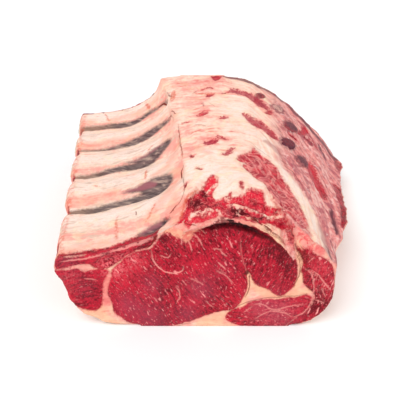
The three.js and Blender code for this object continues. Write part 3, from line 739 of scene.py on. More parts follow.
# Sawn bone: where its dense rim starts, how ragged the rim is and how strong the swirls are.
RIB_LOOK = (0.72, 0.3, 0)
CHINE_LOOK = (0.75, 1.4, 0.8)
RIM_NOISE = (0.35,)
RIM_SOFT = 0.14
BONE_CELLS = 0.85
PORE_SPAN = (0.2, 0.65)
PORE_WALL = 0.55
BONE_CLOUDS = (0.27, 3, 0.6, 0.8)
CORE_CLOUDS = (0.45, 0.7)
CORE_DARK = 0.5
EDGE_CLOUDS = (0.5, 0.8)
EDGE_DARK = 0.7
SWIRLS = (0.085, 2, 0.5, 1.6)
SWIRL_SPAN = (0.05, 0.015)
SWIRL_COLOUR = (112, 60, 70)
BONE_SHINE = 0.15
BONE_BUMP = (0.5, 0.4)
BONE_GRIT = (0.9,)
# The stage, in metres and degrees.
WHITE = (1, 1, 1, 1)
FLOOR_HALF = 12
FLOOR_ROUGHNESS = 0.9
FLOOR_SHINE = 0.1
CAMERA_PLACE = (-0.0144, -0.5615, 0.4271)
SENSOR = 36
NEAR_CLIP = 0.01
KEY_FROM = (-0.45, -0.35, 1)
KEY_SPREAD = 45
FILL_FROM = (0.8, -0.6, 0.7)
FILL_SPREAD = 70
FILL_SHARE = 0.4
# Marrow and edge colours of the backbone's sawn ends, front to back.
CHINE_LOOKS = (
    ((102, 56, 68), (170, 96, 98)),
    ((150, 50, 60), (98, 46, 60)),
    ((108, 70, 80), (160, 70, 76)),
    ((236, 182, 168), (182, 116, 116)),
    ((156, 62, 64), (176, 90, 90)),
)


def linear(*colour):
    """A colour of three parts out of 255 as the renderer takes it."""
    parts = (part / 255 for part in colour)
    return tuple(p / 12.92 if p <= 0.04045 else ((p + 0.055) / 1.055) ** 2.4 for p in parts)


def colour_property(name, description, *colour):
    return bpy.props.FloatVectorProperty(
        name=name, description=description, subtype="COLOR", size=3, min=0, max=1, default=linear(*colour)
    )


def length_property(name, description, millimetres):
    return bpy.props.FloatProperty(
        name=name, description=description, subtype="DISTANCE", unit="LENGTH", default=millimetres * MM
    )


class RackSizes(bpy.types.PropertyGroup):
    voxel: length_property("Skin mesh", "Size of the faces of the flesh", 1.85)
    bone_voxel: length_property("Bone mesh", "Size of the faces of the bones", 1.1)
    fat_lump: length_property("Fat lumps", "Height of the soft lumps in the fat", 1.0)
    torn_lump: length_property("Torn flesh", "Height of the shreds over the rib eye", 3.0)
    field_sink: length_property("Lean sink", "How far bared lean lies under the fat around it", 1.5)
    crevice: length_property("Crevice", "Depth of the crevice over the rib eye", 4.0)
    bone_recess: length_property("Bone recess", "How far flesh stands back round a sawn bone", 1.2)


class RackColours(bpy.types.PropertyGroup):
    lean: colour_property("Lean", "Moist lean meat", 185, 26, 48)
    lean_deep: colour_property("Deep lean", "Dark lean meat", 106, 6, 22)
    lean_bright: colour_property("Bright lean", "Freshly bared lean meat", 226, 22, 54)
    marbling: colour_property("Marbling", "Fine fat in the lean", 252, 158, 154)
    fat: colour_property("Fat", "Cream fat", 254, 218, 197)
    fat_white: colour_property("White fat", "Clean hard fat", 255, 231, 218)
    fat_pink: colour_property("Pink fat", "Fat with a trace of blood", 250, 172, 158)
    fat_butter: colour_property("Buttery fat", "Yellower fat under the eye", 252, 198, 154)
    fat_grey: colour_property("Grey-pink skin", "Dried skin on the slope", 188, 116, 114)
    dusk: colour_property("Dark skin", "Dark dried rims and furrows", 112, 56, 66)
    membrane: colour_property("Membrane", "Grey skin between the ribs", 108, 90, 90)
    bone: colour_property("Bone", "Sawn edge of a bone", 236, 214, 188)
    marrow: colour_property("Marrow", "Spongy red marrow", 140, 48, 44)


class RackStage(bpy.types.PropertyGroup):
    floor: colour_property("Floor", "Pale floor", 255, 255, 255)
    key: bpy.props.FloatProperty(name="Key light", description="Strength of the soft light", default=1.5)
    sky: bpy.props.FloatProperty(name="Surroundings", description="Strength of the even light", default=0.57)
    pitch: bpy.props.FloatProperty(
        name="Camera pitch",
        description="How far the camera looks down",
        subtype="ANGLE",
        default=math.radians(34.07),
    )
    lens: bpy.props.FloatProperty(name="Lens", description="Focal length", unit="CAMERA", default=53.57)


def between(pair, share):
    return pair[0] + (pair[1] - pair[0]) * share


def smooth(low, high, value):
    share = np.clip((value - low) / (high - low), 0, 1)
    return share * share * (3 - 2 * share)


def bell(value, middle, width):
    return np.exp(-(((value - middle) / width) ** 2))


def rounded(points, closed):
    """A smooth line through the points."""
    places = np.array(points, float)
    count = len(places)
    line = []
    for i in range(count if closed else count - 1):
        around = [(i + k) % count if closed else min(max(i + k, 0), count - 1) for k in (-1, 0, 1, 2)]
        a, b, c, d = places[around]
        for t in np.arange(LINE_STEPS) / LINE_STEPS:
            bend = (2 * a - 5 * b + 4 * c - d) * t**2 + (3 * b - a - 3 * c + d) * t**3
            line.append(b + ((c - a) * t + bend) / 2)
    line.append(places[0] if closed else places[-1])
    return np.array(line)


def nearest(line, u, w):
    """Distance to a line, which side of it each place is on, and the line's third value there."""
    best = np.full(u.shape, 1e9)
    side = np.ones(u.shape)
    value = np.zeros(u.shape)
    for a, b in zip(line[:-1], line[1:]):
        run = b[:2] - a[:2]
        size = max(run @ run, 1e-9)
        share = np.clip(((u - a[0]) * run[0] + (w - a[1]) * run[1]) / size, 0, 1)
        du = u - a[0] - share * run[0]
        dw = w - a[1] - share * run[1]
        gap = np.hypot(du, dw)
        closer = gap < best
        best = np.where(closer, gap, best)
        side = np.where(closer, np.sign(run[0] * dw - run[1] * du + 1e-12), side)
        if len(a) > 2:
            value = np.where(closer, a[2] + share * (b[2] - a[2]), value)
    return best, side, value


def close_to(line, u, w):
    low = line[:, :2].min(axis=0) - FAR
    high = line[:, :2].max(axis=0) + FAR
    return (u > low[0]) & (u < high[0]) & (w > low[1]) & (w < high[1])


def area(points, u, w):
    """How far each place lies inside a closed outline, negative outside it."""
    line = rounded(points, closed=True)
    depth = np.full(u.shape, -FAR)
    here = close_to(line, u, w)
    pu, pw = u[here], w[here]
    gap = nearest(line, pu, pw)[0]
    inside = np.zeros(pu.shape, bool)
    for (au, aw), (bu, bw) in zip(line[:-1], line[1:]):
        if aw != bw:
            crosses = (aw > pw) != (bw > pw)
            inside ^= crosses & (pu < au + (pw - aw) * (bu - au) / (bw - aw))
    depth[here] = np.clip(np.where(inside, gap, -gap), -FAR, FAR)
    return depth


def stroke(points, u, w):
    """How far each place lies inside a line with a half width, negative outside it."""
    line = rounded(points, closed=False)
    depth = np.full(u.shape, -FAR)
    here = close_to(line, u, w)
    gap, _, half = nearest(line, u[here], w[here])
    depth[here] = np.clip(half - gap, -FAR, FAR)
    return depth


def waver(points, name, stretch=(1, 1, 1)):
    """One of the smooth noises of the shape, from -1 to 1, at some places."""
    size, seed = LUMPS[name]
    shifted = points * (np.array(stretch) / size) + seed * SEED_STEP
    return np.array([noise.noise(place) for place in shifted.tolist()])


def places_of(mesh):
    """Every corner's place in millimetres."""
    places = np.empty(len(mesh.vertices) * 3)
    mesh.vertices.foreach_get("co", places)
    return places.reshape(-1, 3) / MM - MIDDLE


def move(mesh, places):
    mesh.vertices.foreach_set("co", ((places + MIDDLE) * MM).astype(np.float32).ravel())
    mesh.update()


class Skin:
    """Where each corner of the flesh lies on the rack."""

    def __init__(self, mesh):
        count = len(mesh.vertices)
        normals = np.empty(count * 3)
        mesh.vertices.foreach_get("normal", normals)
        self.places = places_of(mesh)
        self.normals = normals.reshape(-1, 3)
        self.x, self.y, self.z = self.places.T
        front = math.tan(FACE_LEAN) * self.z
        back = BACK_FOOT + math.tan(BACK_LEAN) * self.z
        self.depth = self.y - FACE_FOOT - front
        self.along = np.clip(self.depth / (back - front), 0, 1)
        self.behind = back - (self.y - FACE_FOOT)
        for name in ("bend", "sway", "fray"):
            setattr(self, name, waver(self.places, name))
        self.ridge_x = between(RIDGE_X, self.along**RIDGE_SWEEP)
        self.find_cut_face()
        self.find_slope()

    def find_cut_face(self):
        """Height over the crown of the eye, and which corners lie on the cut face."""
        off = self.x - CROWN[0]
        fall = np.where(off < 0, CROWN_FALL_LEFT * off**2, CROWN_FALL[0] * off**2 + CROWN_FALL[1] * off**3)
        self.over = self.z - np.maximum(CROWN[1] - fall, CROWN_LOW)
        self.span = smooth(*TORN_LEFT, self.x) * (1 - smooth(*TORN_RIGHT, self.x))
        middle, width, notch = TORN_NOTCH
        setback = TORN_SETBACK + notch * bell(self.x, middle, width)
        torn = smooth(TORN_FROM, TORN_HEIGHT, self.over) * setback
        lip = -LIP_REACH * bell(self.over, *LIP_BAND)
        sink = EYE_SINK * smooth(*EYE_HOLLOW, self.over) * (1 - smooth(*EYE_TOP, self.over))
        off_face = self.depth - (torn + lip + sink) * self.span
        self.cut = 1 - smooth(*SKIN_DEPTH, off_face)
        under_lip = 1 - smooth(*UNDER_LIP, self.over) * smooth(*LIP_ENDS, self.span)
        self.face = self.cut * under_lip
        self.back_face = 1 - smooth(*SKIN_DEPTH, self.behind)

    def find_slope(self):
        """Share of the way down the sawn slope, and which corners lie on each side."""
        top, bulge, foot = (between(pair, self.along) for pair in (SLOPE_TOP_X, SLOPE_BULGE_X, SLOPE_FOOT_X))
        turn = top - 2 * bulge + foot
        half = bulge - top
        root = np.sqrt(np.maximum(half**2 + turn * (self.x - top), 0))
        safe = np.where(np.abs(turn) < 1, 1, turn)
        share = np.where(np.abs(turn) < 1, (self.x - top) / np.maximum(2 * half, 1), (root - half) / safe)
        self.down = np.clip(share, *DOWN_LIMITS)
        upward = smooth(*FACING_UP, self.normals[:, 2])
        outside = (1 - self.face) * (1 - self.back_face)
        self.on_top = upward * outside
        self.on_ribs = self.on_top * (1 - smooth(*RIDGE_EDGE, self.x - self.ridge_x))
        self.on_slope = self.on_top * smooth(*SLOPE_EDGE, self.down)
        end_x = between(RIB_END_X, self.along)
        end_z = between(RIB_END_Z, self.along)
        self.at_ends = (1 - smooth(*END_WIDTH, self.x - end_x)) * smooth(*END_FOOT, self.z - end_z) * outside
        self.at_ends *= 1 - smooth(*FACING_SIDE, self.normals[:, 2])


def front_like(skin):
    """The back cut's places drawn back to the proportions of the front cut."""
    return np.interp(skin.x, BACK_X, FRONT_X), skin.z * FRONT_HEIGHT


def spots(places, u, w):
    """Sum of round soft spots, each with its middle, radius and strength."""
    return sum(strength * bell(np.hypot(u - x, w - z), 0, r) for x, z, r, strength in places)


class Marks(dict):
    """Numbers for every corner of the flesh, by name."""

    def lift(self, name, values):
        """Raises a mark where the values are higher."""
        self[name] = np.maximum(self[name], values)

    def turn(self, name, value, share):
        """Brings a mark towards a value."""
        self[name] = self[name] + (value - self[name]) * share

    def draw(self, name, lines, u, w, here, strength=1):
        """Signed distance to the nearest of some thin lines, and how strongly it shows."""
        for show, points in lines:
            line = rounded(points, closed=False)
            shares = np.linspace(0, 1, len(line))
            line = np.column_stack([line, np.minimum(1, np.minimum(shares, 1 - shares) / LINE_TAPER)])
            picked = np.flatnonzero(here & close_to(line, u, w))
            gap, side, taper = nearest(line, u[picked], w[picked])
            closer = gap < np.abs(self[name][picked])
            picked = picked[closer]
            self[name][picked] = (gap * side)[closer]
            shown = strength * show * taper * (1 - smooth(*LINE_REACH, gap))
            self[name + "_on"][picked] = shown[closer]


def cut_marks(skin, u, w, shown, marks):
    """Adds the muscles, sinews and tones of one cut face."""
    u = u + FACE_BEND * skin.bend
    w = w + FACE_BEND * skin.sway
    here = shown > 0.5
    lean = np.full(u.shape, -FAR)
    for tone, fleck, grain_way, outline in MUSCLES:
        depth = area(outline, u, w)
        inside = shown * smooth(*MUSCLE_EDGE, depth)
        lean = np.maximum(lean, depth)
        marks.turn("tone", tone, inside)
        marks.turn("marble", fleck, inside)
        marks["way"] = np.where(inside > 0.5, math.radians(grain_way), marks["way"])
    marks["lean"] = np.where(here, lean, marks["lean"])
    for name, places in FACE_SPOTS.items():
        marks[name] += spots(places, u, w) * shown
    marks["rosy"] += spots(FACE_GLOWS, u, w) * shown * smooth(*GLOW_EDGE, lean)
    marks.lift("butter", shown * smooth(*CREAM_EDGE, area(CREAM_FAT, u, w)))
    for points in BUTTER_LINES:
        marks.lift("butter", shown * smooth(*BUTTER_EDGE, stroke(points, u, w)))
    marks.draw("sinew", SINEWS, u, w, here)
    marks.draw("crack", FACE_SEAMS, u, w, here)


def lean_marks(skin, x, y, marks):
    """Adds the bared lean of the upper side and the fat left standing in it."""
    top = skin.on_top
    lean = np.full(x.shape, -FAR)
    for name, tone, fibre, outline in TOP_LEAN:
        depth = area(outline, x, y)
        inside = top * smooth(*LEAN_EDGE, depth)
        lean = np.maximum(lean, depth)
        marks.turn("tone", tone, inside)
        marks.lift("fibre", fibre * inside)
        if name == "torn":
            marks.lift("torn", top * smooth(*TORN_EDGE, depth))
            marks.lift("torn", top * spots(RAGGED_PLACES, x, y))
        elif name == "field":
            marks["field"] = inside
        elif name.startswith("patch") or name.endswith(("bar", "strip")):
            marks.lift("torn", PATCH_TORN * top * smooth(*PATCH_EDGE, depth))
            marks.lift("ragged", top * smooth(*RAGGED_EDGE, depth))
            marks.lift("dull", PATCH_DULL * min(tone, DULL_TONE) * inside)
    for tone, points in TOP_STRIPS:
        depth = stroke(points, x, y)
        lean = np.maximum(lean, depth)
        marks.turn("tone", tone, top * smooth(*STRIP_EDGE, depth))
    marks["tone"] += spots(TOP_TONES, x, y) * top
    strands = np.maximum.reduce([stroke(points, x, y) for points in FAT_STRANDS])
    marks["strand"] = top * smooth(*STRAND_EDGE, strands)
    marks["lean"] = np.where(top > 0.5, np.minimum(lean, -strands), marks["lean"])


def blush_of(skin, x, y, marks):
    """How pink the fat on top is: palest over the dome and along the ribs, with a painted highlight on their
    crests.
    """
    share = np.interp(skin.along, (0, *GROOVES, 1), GROOVE_COUNTS) % 1
    across = sum(strength * bell(share, middle, width) for strength, middle, width in RIB_BLUSH_AND_HIGHLIGHT)
    blush = TOP_BLUSH * skin.on_top + across * skin.on_ribs
    blush += skin.on_slope * between(SLOPE_BLUSH, smooth(*PINK_SLOPE, skin.down))
    blush += RIDGE_BLUSH * bell(skin.x, skin.ridge_x - RIDGE_BACK, RIDGE_WIDTH) * skin.on_top
    blush += (PALE_BLUSH - blush) * marks["pale"]
    white = skin.on_top * smooth(*WHITE_EDGE, area(WHITE_ZONE, x, y))
    return between((blush, WHITE_BLUSH * skin.on_top), white)


def top_marks(skin, marks):
    """Adds bared lean, membranes, blood and cracks to the upper side."""
    uneven = TOP_BEND + SLOPE_BEND * skin.on_slope
    x = skin.x + uneven * skin.bend
    y = skin.y + uneven * skin.sway
    top = skin.on_top
    lean_marks(skin, x, y, marks)
    membrane = [stroke(points, x, y) for points in MEMBRANES]
    membrane += [area(outline, x, y) for outline in MEMBRANE_ENDS]
    marks["membrane"] = np.where(top > 0.5, np.maximum.reduce(membrane), -FAR)
    for name, lines, low, high in TOP_STAINS:
        for points in lines:
            marks.lift(name, top * smooth(low, high, stroke(points, x, y)))
    for name, lines in TOP_SKINS.items():
        for show, points in lines:
            marks.lift(name, show * top * smooth(*SKIN_EDGE, stroke(points, x, y)))
    marks.draw("crack", CRACKS, x, y, top > 0.5)
    marks["blush"] = marks["blush"] * (1 - top) + blush_of(skin, x, y, marks)


def edge_marks(skin, marks):
    """Adds flesh between the sawn rib ends, and the crevice over the eye with its painted shadow."""
    for groove in GROOVES:
        gap = GROOVE_HALF - np.abs(skin.along - groove) * BACK_FOOT
        marks.lift("lean", np.clip(np.where(skin.at_ends > 0.5, gap, -FAR), -FAR, FAR))
    marks.turn("tone", END_TONE, skin.at_ends)
    marks.turn("blush", END_BLUSH, skin.at_ends)
    marks.turn("blush", FACE_BLUSH, FACE_BLUSH_SHARE * skin.face)
    marks["smear"] += SMEAR_STRENGTH * spots(SMEARS, skin.x, skin.y) * skin.on_top
    marks["film"] = RIB_FILM * skin.on_ribs * (1 - marks["salmon"])
    from_end = skin.x - between(RIB_END_X, skin.along)
    marks.lift("blood", END_BLOOD * skin.on_ribs * smooth(*BLOODY_END, from_end))
    marks["banded"] = skin.on_slope * smooth(*BANDED_SLOPE, skin.down) * (1 - marks["pale"])
    marks["marrow"] = np.minimum.reduce([chine_rim(skin.places, chine_end(name))[0] for name in CHINES])
    near = (1 - smooth(*FRONT_DEPTH, skin.depth)) * (1 - skin.back_face)
    # the crevice also marks where its shadow is painted near black
    marks["crevice"] = near * smooth(*CREVICE_EDGE, stroke(CREVICE, skin.x, skin.z))
    marks.lift("crevice", skin.face * spots([SUNK_DARK_PIT], skin.x, skin.z))
    lip = near * bell(skin.over, *LIP_SEEN) * skin.span
    marks.lift("torn", LIP_TORN * lip)
    marks.lift("torn", skin.face * spots(FACE_RAGGED, skin.x, skin.z))
    marks.lift("butter", lip * smooth(*LIP_BUTTER, skin.x))
    marks.lift("rosy", LIP_ROSY * lip * (1 - smooth(*LIP_ROSY_END, skin.x)))
    marks.draw("crack", FACE_SEAMS, skin.x, skin.z, lip > LIP_CLEAR, LIP_SEAMS)


def flow_of(skin, marks):
    """Distance along and across the fibres, in millimetres."""
    x, y, z, none = skin.x, skin.y, skin.z, 0 * skin.x
    fan = FAN_REACH * np.logaddexp(0, (y - FAN_FROM) / FAN_FROM)
    along, across = np.cos(marks["way"]), np.sin(marks["way"])
    cut = skin.face + skin.back_face
    on_slope = (skin.down > FLOW_DOWN) & (skin.on_top > FLOW_TOP)
    flow = np.column_stack([x + 0.6 * z, y, 0.3 * z])
    for here, parts in (
        (on_slope, (0.6 * y, SLOPE_LENGTH * skin.down + 0.2 * y + fan, none)),
        (marks["field"] > FLOW_FIELD, (0.6 * x - 0.8 * y, 0.8 * x + 0.6 * y, none)),
        (skin.on_top + cut < 0.5, (y, x + z, none)),
        (cut > 0.5, (x * along + z * across, z * along - x * across, 0.3 * y)),
    ):
        flow[here] = np.column_stack(parts)[here]
    return flow


MARKS = """tone marble way fibre torn ragged field strand warm blood salmon pale grey dusk rosy dull
    butter crevice smear film banded marrow lean sinew crack sinew_on crack_on blush""".split()


def marks_of(skin):
    """Every mark that the flesh's shape and colours are made from."""
    marks = Marks({name: np.zeros(skin.x.shape) for name in MARKS})
    for name, value in {"lean": -FAR, "sinew": FAR, "crack": FAR, "blush": SIDE_BLUSH}.items():
        marks[name] += value
    top_marks(skin, marks)
    cut_marks(skin, skin.x, skin.z, skin.face, marks)
    cut_marks(skin, *front_like(skin), skin.back_face, marks)
    edge_marks(skin, marks)
    marks.lift("ragged", marks["torn"])
    return marks


def rib_tip(name):
    """Middle of a rib's sawn end."""
    places = places_of(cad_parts[name].data)
    end = places[places[:, 0] < places[:, 0].min() + TIP_REACH]
    return (end.min(axis=0) + end.max(axis=0)) / 2


def rib_rim(places, tip):
    """How far out from the middle of a rib's sawn end each place is; 1 is its edge."""
    off = places - tip
    across = off[:, 1] - RIB_LEAN * off[:, 2]
    return np.hypot(across / RIB_HALF[0], off[:, 2] / RIB_HALF[1])


def chine_end(name):
    """Middle of a backbone end, and its two half widths and the way out as vectors."""
    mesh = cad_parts[name].data
    normals = np.array([face.normal for face in mesh.polygons])
    cap = normals @ SLOPE_OUT > CAP_FACING
    out = normals[cap].mean(axis=0)
    out /= np.linalg.norm(out)
    corners = {index for index in np.flatnonzero(cap) for index in mesh.polygons[index].vertices}
    places = places_of(mesh)[sorted(corners)]
    flat = places - np.outer(places @ out, out)
    ways = np.linalg.svd(flat - flat.mean(axis=0), full_matrices=False)[2][:2]
    spread = flat @ ways.T
    middle = (spread.min(axis=0) + spread.max(axis=0)) / 2
    halves = np.ptp(spread, axis=0) / 2 / CAP_SHARE
    place = middle @ ways + out * (places @ out).max()
    return place, ways[0] * halves[0], ways[1] * halves[1], out


def chine_rim(places, end):
    """Share of the way out to a backbone end's edge, and the height over its middle."""
    middle, long, wide, out = end
    off = places - middle
    return np.hypot(off @ long / (long @ long), off @ wide / (wide @ wide)), off @ out


def bone_recess(skin):
    """How far the flesh stands back at the sawn ends of the bones, from 0 to 1."""
    recess = np.zeros(skin.x.shape)
    for name in RIBS:
        tip = rib_tip(name)
        near = skin.x < tip[0] + END_REACH
        recess = np.maximum(recess, near * (1 - smooth(*RIB_RECESS, rib_rim(skin.places, tip))))
    for name in CHINES:
        rim, height = chine_rim(skin.places, chine_end(name))
        rim = rim + CHINE_FRAY * skin.fray
        recess = np.maximum(recess, (np.abs(height) < CHINE_NEAR) * (1 - smooth(*CHINE_RECESS, rim)))
    return recess


def flesh_relief(skin, marks, sizes):
    """How far each corner of the flesh moves out along its normal, in millimetres."""
    cut = np.maximum(skin.face, skin.back_face)
    lumps = waver(skin.places, "broad lump") + FINE_LUMP * waver(skin.places, "fine lump")
    ridges = waver(flow_of(skin, marks), "ridge", RIDGE_STRETCH)
    shred = waver(skin.places, "shred") + FINE_SHRED * waver(skin.places, "fine shred")
    bared = smooth(*SUNK_EDGE, marks["lean"]) * skin.on_top
    gap = marks["crevice"] * (1 - smooth(*CREVICE_TOP, skin.over))
    sized = (
        sizes.fat_lump * lumps * (1 - CUT_FLATNESS * cut) * (1 - RIB_FLATNESS * skin.on_ribs)
        + sizes.torn_lump * shred * marks["torn"]
        - sizes.field_sink * bared
        - sizes.crevice * gap
        - sizes.bone_recess * bone_recess(skin)
    ) / MM
    rises = (
        (SLOPE_RIDGE, ridges * skin.on_slope * smooth(*BANDED_SLOPE, skin.down)),
        (RIB_RIDGE, ridges * skin.on_ribs),
        (FIELD_RIDGE, ridges * marks["field"]),
        (STRAND_RISE, marks["strand"]),
        (LIP_SHRED, shred * bell(skin.over, *LIP_RELIEF) * skin.span * skin.cut),
        (MUSCLE_RISE, smooth(*MUSCLE_SWELL, marks["lean"]) * cut),
        (-FOLD_DEPTH, marks["torn"] * np.clip(marks["tone"] - FOLD_TONE, 0, FOLD_FULL)),
        (-MEMBRANE_SINK, smooth(*MEMBRANE_EDGE, marks["membrane"])),
        (-SEAM_DEPTH, bell(marks["lean"], 0, SEAM_WIDTH) * cut),
        (-CRACK_DEPTH, marks["crack_on"] * bell(marks["crack"], 0, CRACK_WIDTH)),
    )
    return (sized + sum(size * share for size, share in rises)) * smooth(*OFF_FLOOR, skin.z)


def bmesh_copy(names):
    """The named CAD nodes in one bmesh, with their loose triangles joined."""
    made = bmesh.new()
    for name in names:
        made.from_mesh(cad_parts[name].data)
    bmesh.ops.remove_doubles(made, verts=made.verts, dist=WELD * MM)
    return made


def new_piece(name, made):
    mesh = bpy.data.meshes.new(name)
    made.to_mesh(mesh)
    made.free()
    piece = bpy.data.objects.new(name, mesh)
    bpy.context.scene.collection.objects.link(piece)
    return piece


def remesh(piece, voxel):
    """Gives the piece one closed skin of even faces."""
    modifier = piece.modifiers.new("Even skin", "REMESH")
    modifier.mode = "VOXEL"
    modifier.voxel_size = voxel
    shape = piece.evaluated_get(bpy.context.evaluated_depsgraph_get())
    mesh = bpy.data.meshes.new_from_object(shape)
    old = piece.data
    piece.modifiers.clear()
    piece.data = mesh
    bpy.data.meshes.remove(old)


def soften(piece, rounds):
    """Smooths the skin and drops any scrap apart from its largest body."""
    made = bmesh.new()
    made.from_mesh(piece.data)
    for _ in range(rounds):
        bmesh.ops.smooth_vert(
            made, verts=made.verts, factor=0.5, use_axis_x=True, use_axis_y=True, use_axis_z=True
        )
    made.verts.ensure_lookup_table()
    unseen = set(made.verts)
    bodies = []
    while unseen:
        queue = [unseen.pop()]
        body = list(queue)
        while queue:
            for edge in queue.pop().link_edges:
                for vert in edge.verts:
                    if vert in unseen:
                        unseen.remove(vert)
                        queue.append(vert)
                        body.append(vert)
        bodies.append(body)
    bodies.sort(key=len)
    scraps = [vert for body in bodies[:-1] for vert in body]
    bmesh.ops.delete(made, geom=scraps, context="VERTS")
    made.to_mesh(piece.data)
    made.free()
    piece.data.shade_smooth()


def store(mesh, name, values):
    """Keeps a number for each corner of the mesh, for its material."""
    kind = "FLOAT_VECTOR" if values.ndim == 2 else "FLOAT"
    key = "vector" if values.ndim == 2 else "value"
    attribute = mesh.attributes.new(name, kind, "POINT")
    attribute.data.foreach_set(key, values.astype(np.float32).ravel())


def make_flesh(sizes):
    piece = new_piece("rack_flesh", bmesh_copy(["meat"] + RIBS + CHINES))
    remesh(piece, sizes.voxel)
    soften(piece, FLESH_ROUNDS)
    skin = Skin(piece.data)
    marks = marks_of(skin)
    flow = flow_of(skin, marks)
    places = skin.places + skin.normals * flesh_relief(skin, marks, sizes)[:, None]
    places[:, 2] = np.maximum(places[:, 2], 0)
    move(piece.data, places)
    for name, values in marks.items():
        if name not in ("way", "field"):
            store(piece.data, name, values)
    store(piece.data, "flow", flow)
    return piece


def sawn_bone(name, suffix, sizes):
    """A bone with an even skin, and where its corners are."""
    piece = new_piece(name + suffix, bmesh_copy([name]))
    remesh(piece, sizes.bone_voxel)
    soften(piece, BONE_ROUNDS)
    return piece, places_of(piece.data)


def make_rib(name, sizes):
    piece, places = sawn_bone(name, "_bone", sizes)
    rim = rib_rim(places, rib_tip(name))
    at_end = places[:, 0] < places[:, 0].min() + END_REACH
    hollow = (1 - smooth(*RIB_CORE, rim)) * at_end
    places[:, 0] += hollow * (RIB_HOLLOW + RIB_PORES * waver(places, "rib pore"))
    move(piece.data, places)
    store(piece.data, "rim", np.where(at_end, rim, OUTER_BONE))
    return piece


def make_chine(name, sizes):
    piece, places = sawn_bone(name, "_end", sizes)
    end = chine_end(name)
    rim, height = chine_rim(places, end)
    pits = waver(places, "chine pore") + CHINE_PITS * waver(places, "chine pit")
    hollow = (1 - smooth(*CHINE_CORE, rim)) * smooth(*CHINE_TOP, height)
    sunk = hollow * (CHINE_HOLLOW + CHINE_PORES * pits)
    move(piece.data, places - end[3] * sunk[:, None])
    store(piece.data, "rim", rim)
    return piece


class Nodes:
    """The nodes of one material or group. Every input takes a number or a socket."""

    def __init__(self, tree):
        self.tree = tree

    def feed(self, socket, value):
        if isinstance(value, bpy.types.NodeSocket):
            self.tree.links.new(value, socket)
        else:
            socket.default_value = value

    def add(self, kind, inputs=None, **settings):
        made = self.tree.nodes.new("ShaderNode" + kind)
        for name, value in settings.items():
            setattr(made, name, value)
        for key, value in (inputs or {}).items():
            self.feed(made.inputs[key], value)
        return made

    def maths(self, operation, *values, clamp=False):
        return self.add("Math", dict(enumerate(values)), operation=operation, use_clamp=clamp).outputs[0]

    def vector(self, operation, *values):
        return self.add("VectorMath", dict(enumerate(values)), operation=operation).outputs[0]

    def times(self, first, second):
        return self.maths("MULTIPLY", first, second)

    def scaled(self, value, factor, base):
        """The value times the factor, plus the base."""
        return self.maths("MULTIPLY_ADD", value, factor, base)

    def sway(self, value, amount, base):
        """A base value pushed up and down by a noise between 0 and 1."""
        return self.scaled(self.maths("SUBTRACT", value, 0.5), amount, base)

    def step(self, value, low, high):
        """A soft step from 0 to 1 between two values."""
        inputs = {"Value": value, "From Min": low, "From Max": high}
        return self.add("MapRange", inputs, interpolation_type="SMOOTHSTEP").outputs["Result"]

    def blend(self, share, first, second):
        inputs = {0: share, 6: first, 7: second}
        return self.add("Mix", inputs, data_type="RGBA", clamp_factor=True).outputs[2]

    def grain(self, vector, scale, detail=3, rough=0.6, distortion=0):
        inputs = {"Vector": vector, "Scale": scale, "Detail": detail, "Roughness": rough}
        return self.add("TexNoise", {**inputs, "Distortion": distortion}).outputs["Fac"]

    def veins(self, vector, *noise):
        """How far a noise is from its middle, which is least along winding lines."""
        return self.maths("ABSOLUTE", self.maths("SUBTRACT", self.grain(vector, *noise), 0.5))

    def bent(self, flow, scale, detail, reach):
        """Places shifted to and fro by a broad noise."""
        wave = self.add("TexNoise", {"Vector": flow, "Scale": scale, "Detail": detail}).outputs["Color"]
        return self.vector("MULTIPLY_ADD", wave, (reach,) * 3, flow)

    def cells(self, vector, scale):
        return self.add("TexVoronoi", {"Vector": vector, "Scale": scale, "Randomness": 1}).outputs


class Effect(Nodes):
    """A node group with named sockets."""

    def __init__(self, name, inputs, outputs):
        super().__init__(bpy.data.node_groups.new(name, "ShaderNodeTree"))
        for label, kind in inputs.items():
            self.tree.interface.new_socket(label, in_out="INPUT", socket_type="NodeSocket" + kind)
        for label in outputs:
            self.tree.interface.new_socket(label, in_out="OUTPUT", socket_type="NodeSocketFloat")
        self.given = self.tree.nodes.new("NodeGroupInput").outputs
        self.put = self.tree.nodes.new("NodeGroupOutput").inputs


def marbling_group(name):
    """Short soft flecks of fat along the fibres, some of them missing. Flow is in millimetres."""
    group = Effect(name, {"Flow": "Vector", "Amount": "Float"}, ["Mask"])
    flow = group.given["Flow"]
    bent = group.bent(flow, *FLECK_BEND)
    mask = 0
    for length, width, size, kept, show in FLECKS:
        place = group.vector("MULTIPLY", bent, (1 / length, 1 / width, 1 / width))
        cell = group.cells(place, 1)
        near = group.step(cell["Distance"], size, FLECK_HEART * size)
        drawn = group.add("SeparateColor", {0: cell["Color"]}).outputs[0]
        picked = group.times(group.step(drawn, 1 - kept, 1 - kept + FLECK_FADE), show)
        mask = group.maths("MAXIMUM", mask, group.times(near, picked))
    broad = group.step(group.grain(flow, *FLECK_CLOUDS), *FLECK_SPAN)
    spread = group.times(mask, group.scaled(broad, *FLECK_SHARE))
    group.feed(group.put["Mask"], group.maths("MULTIPLY", spread, group.given["Amount"], clamp=True))
    return group.tree


def streak_group(name):
    """Long streaks along the fibres. Flow is in millimetres, the first axis along the fibres."""
    group = Effect(name, {"Flow": "Vector", "Width": "Float", "Length": "Float"}, ["Value", "Thread"])
    parts = group.add("SeparateXYZ", {0: group.bent(group.given["Flow"], *STREAK_BEND)}).outputs
    shares = {}
    for axis, size in enumerate(("Length", "Width", "Width")):
        shares[axis] = group.maths("DIVIDE", parts[axis], group.given[size])
    place = group.add("CombineXYZ", shares).outputs[0]
    group.feed(group.put["Value"], group.grain(place, *STREAK_NOISE))
    group.feed(group.put["Thread"], group.step(group.veins(place, *THREAD_NOISE), THREAD_WIDTH, 0))
    return group.tree


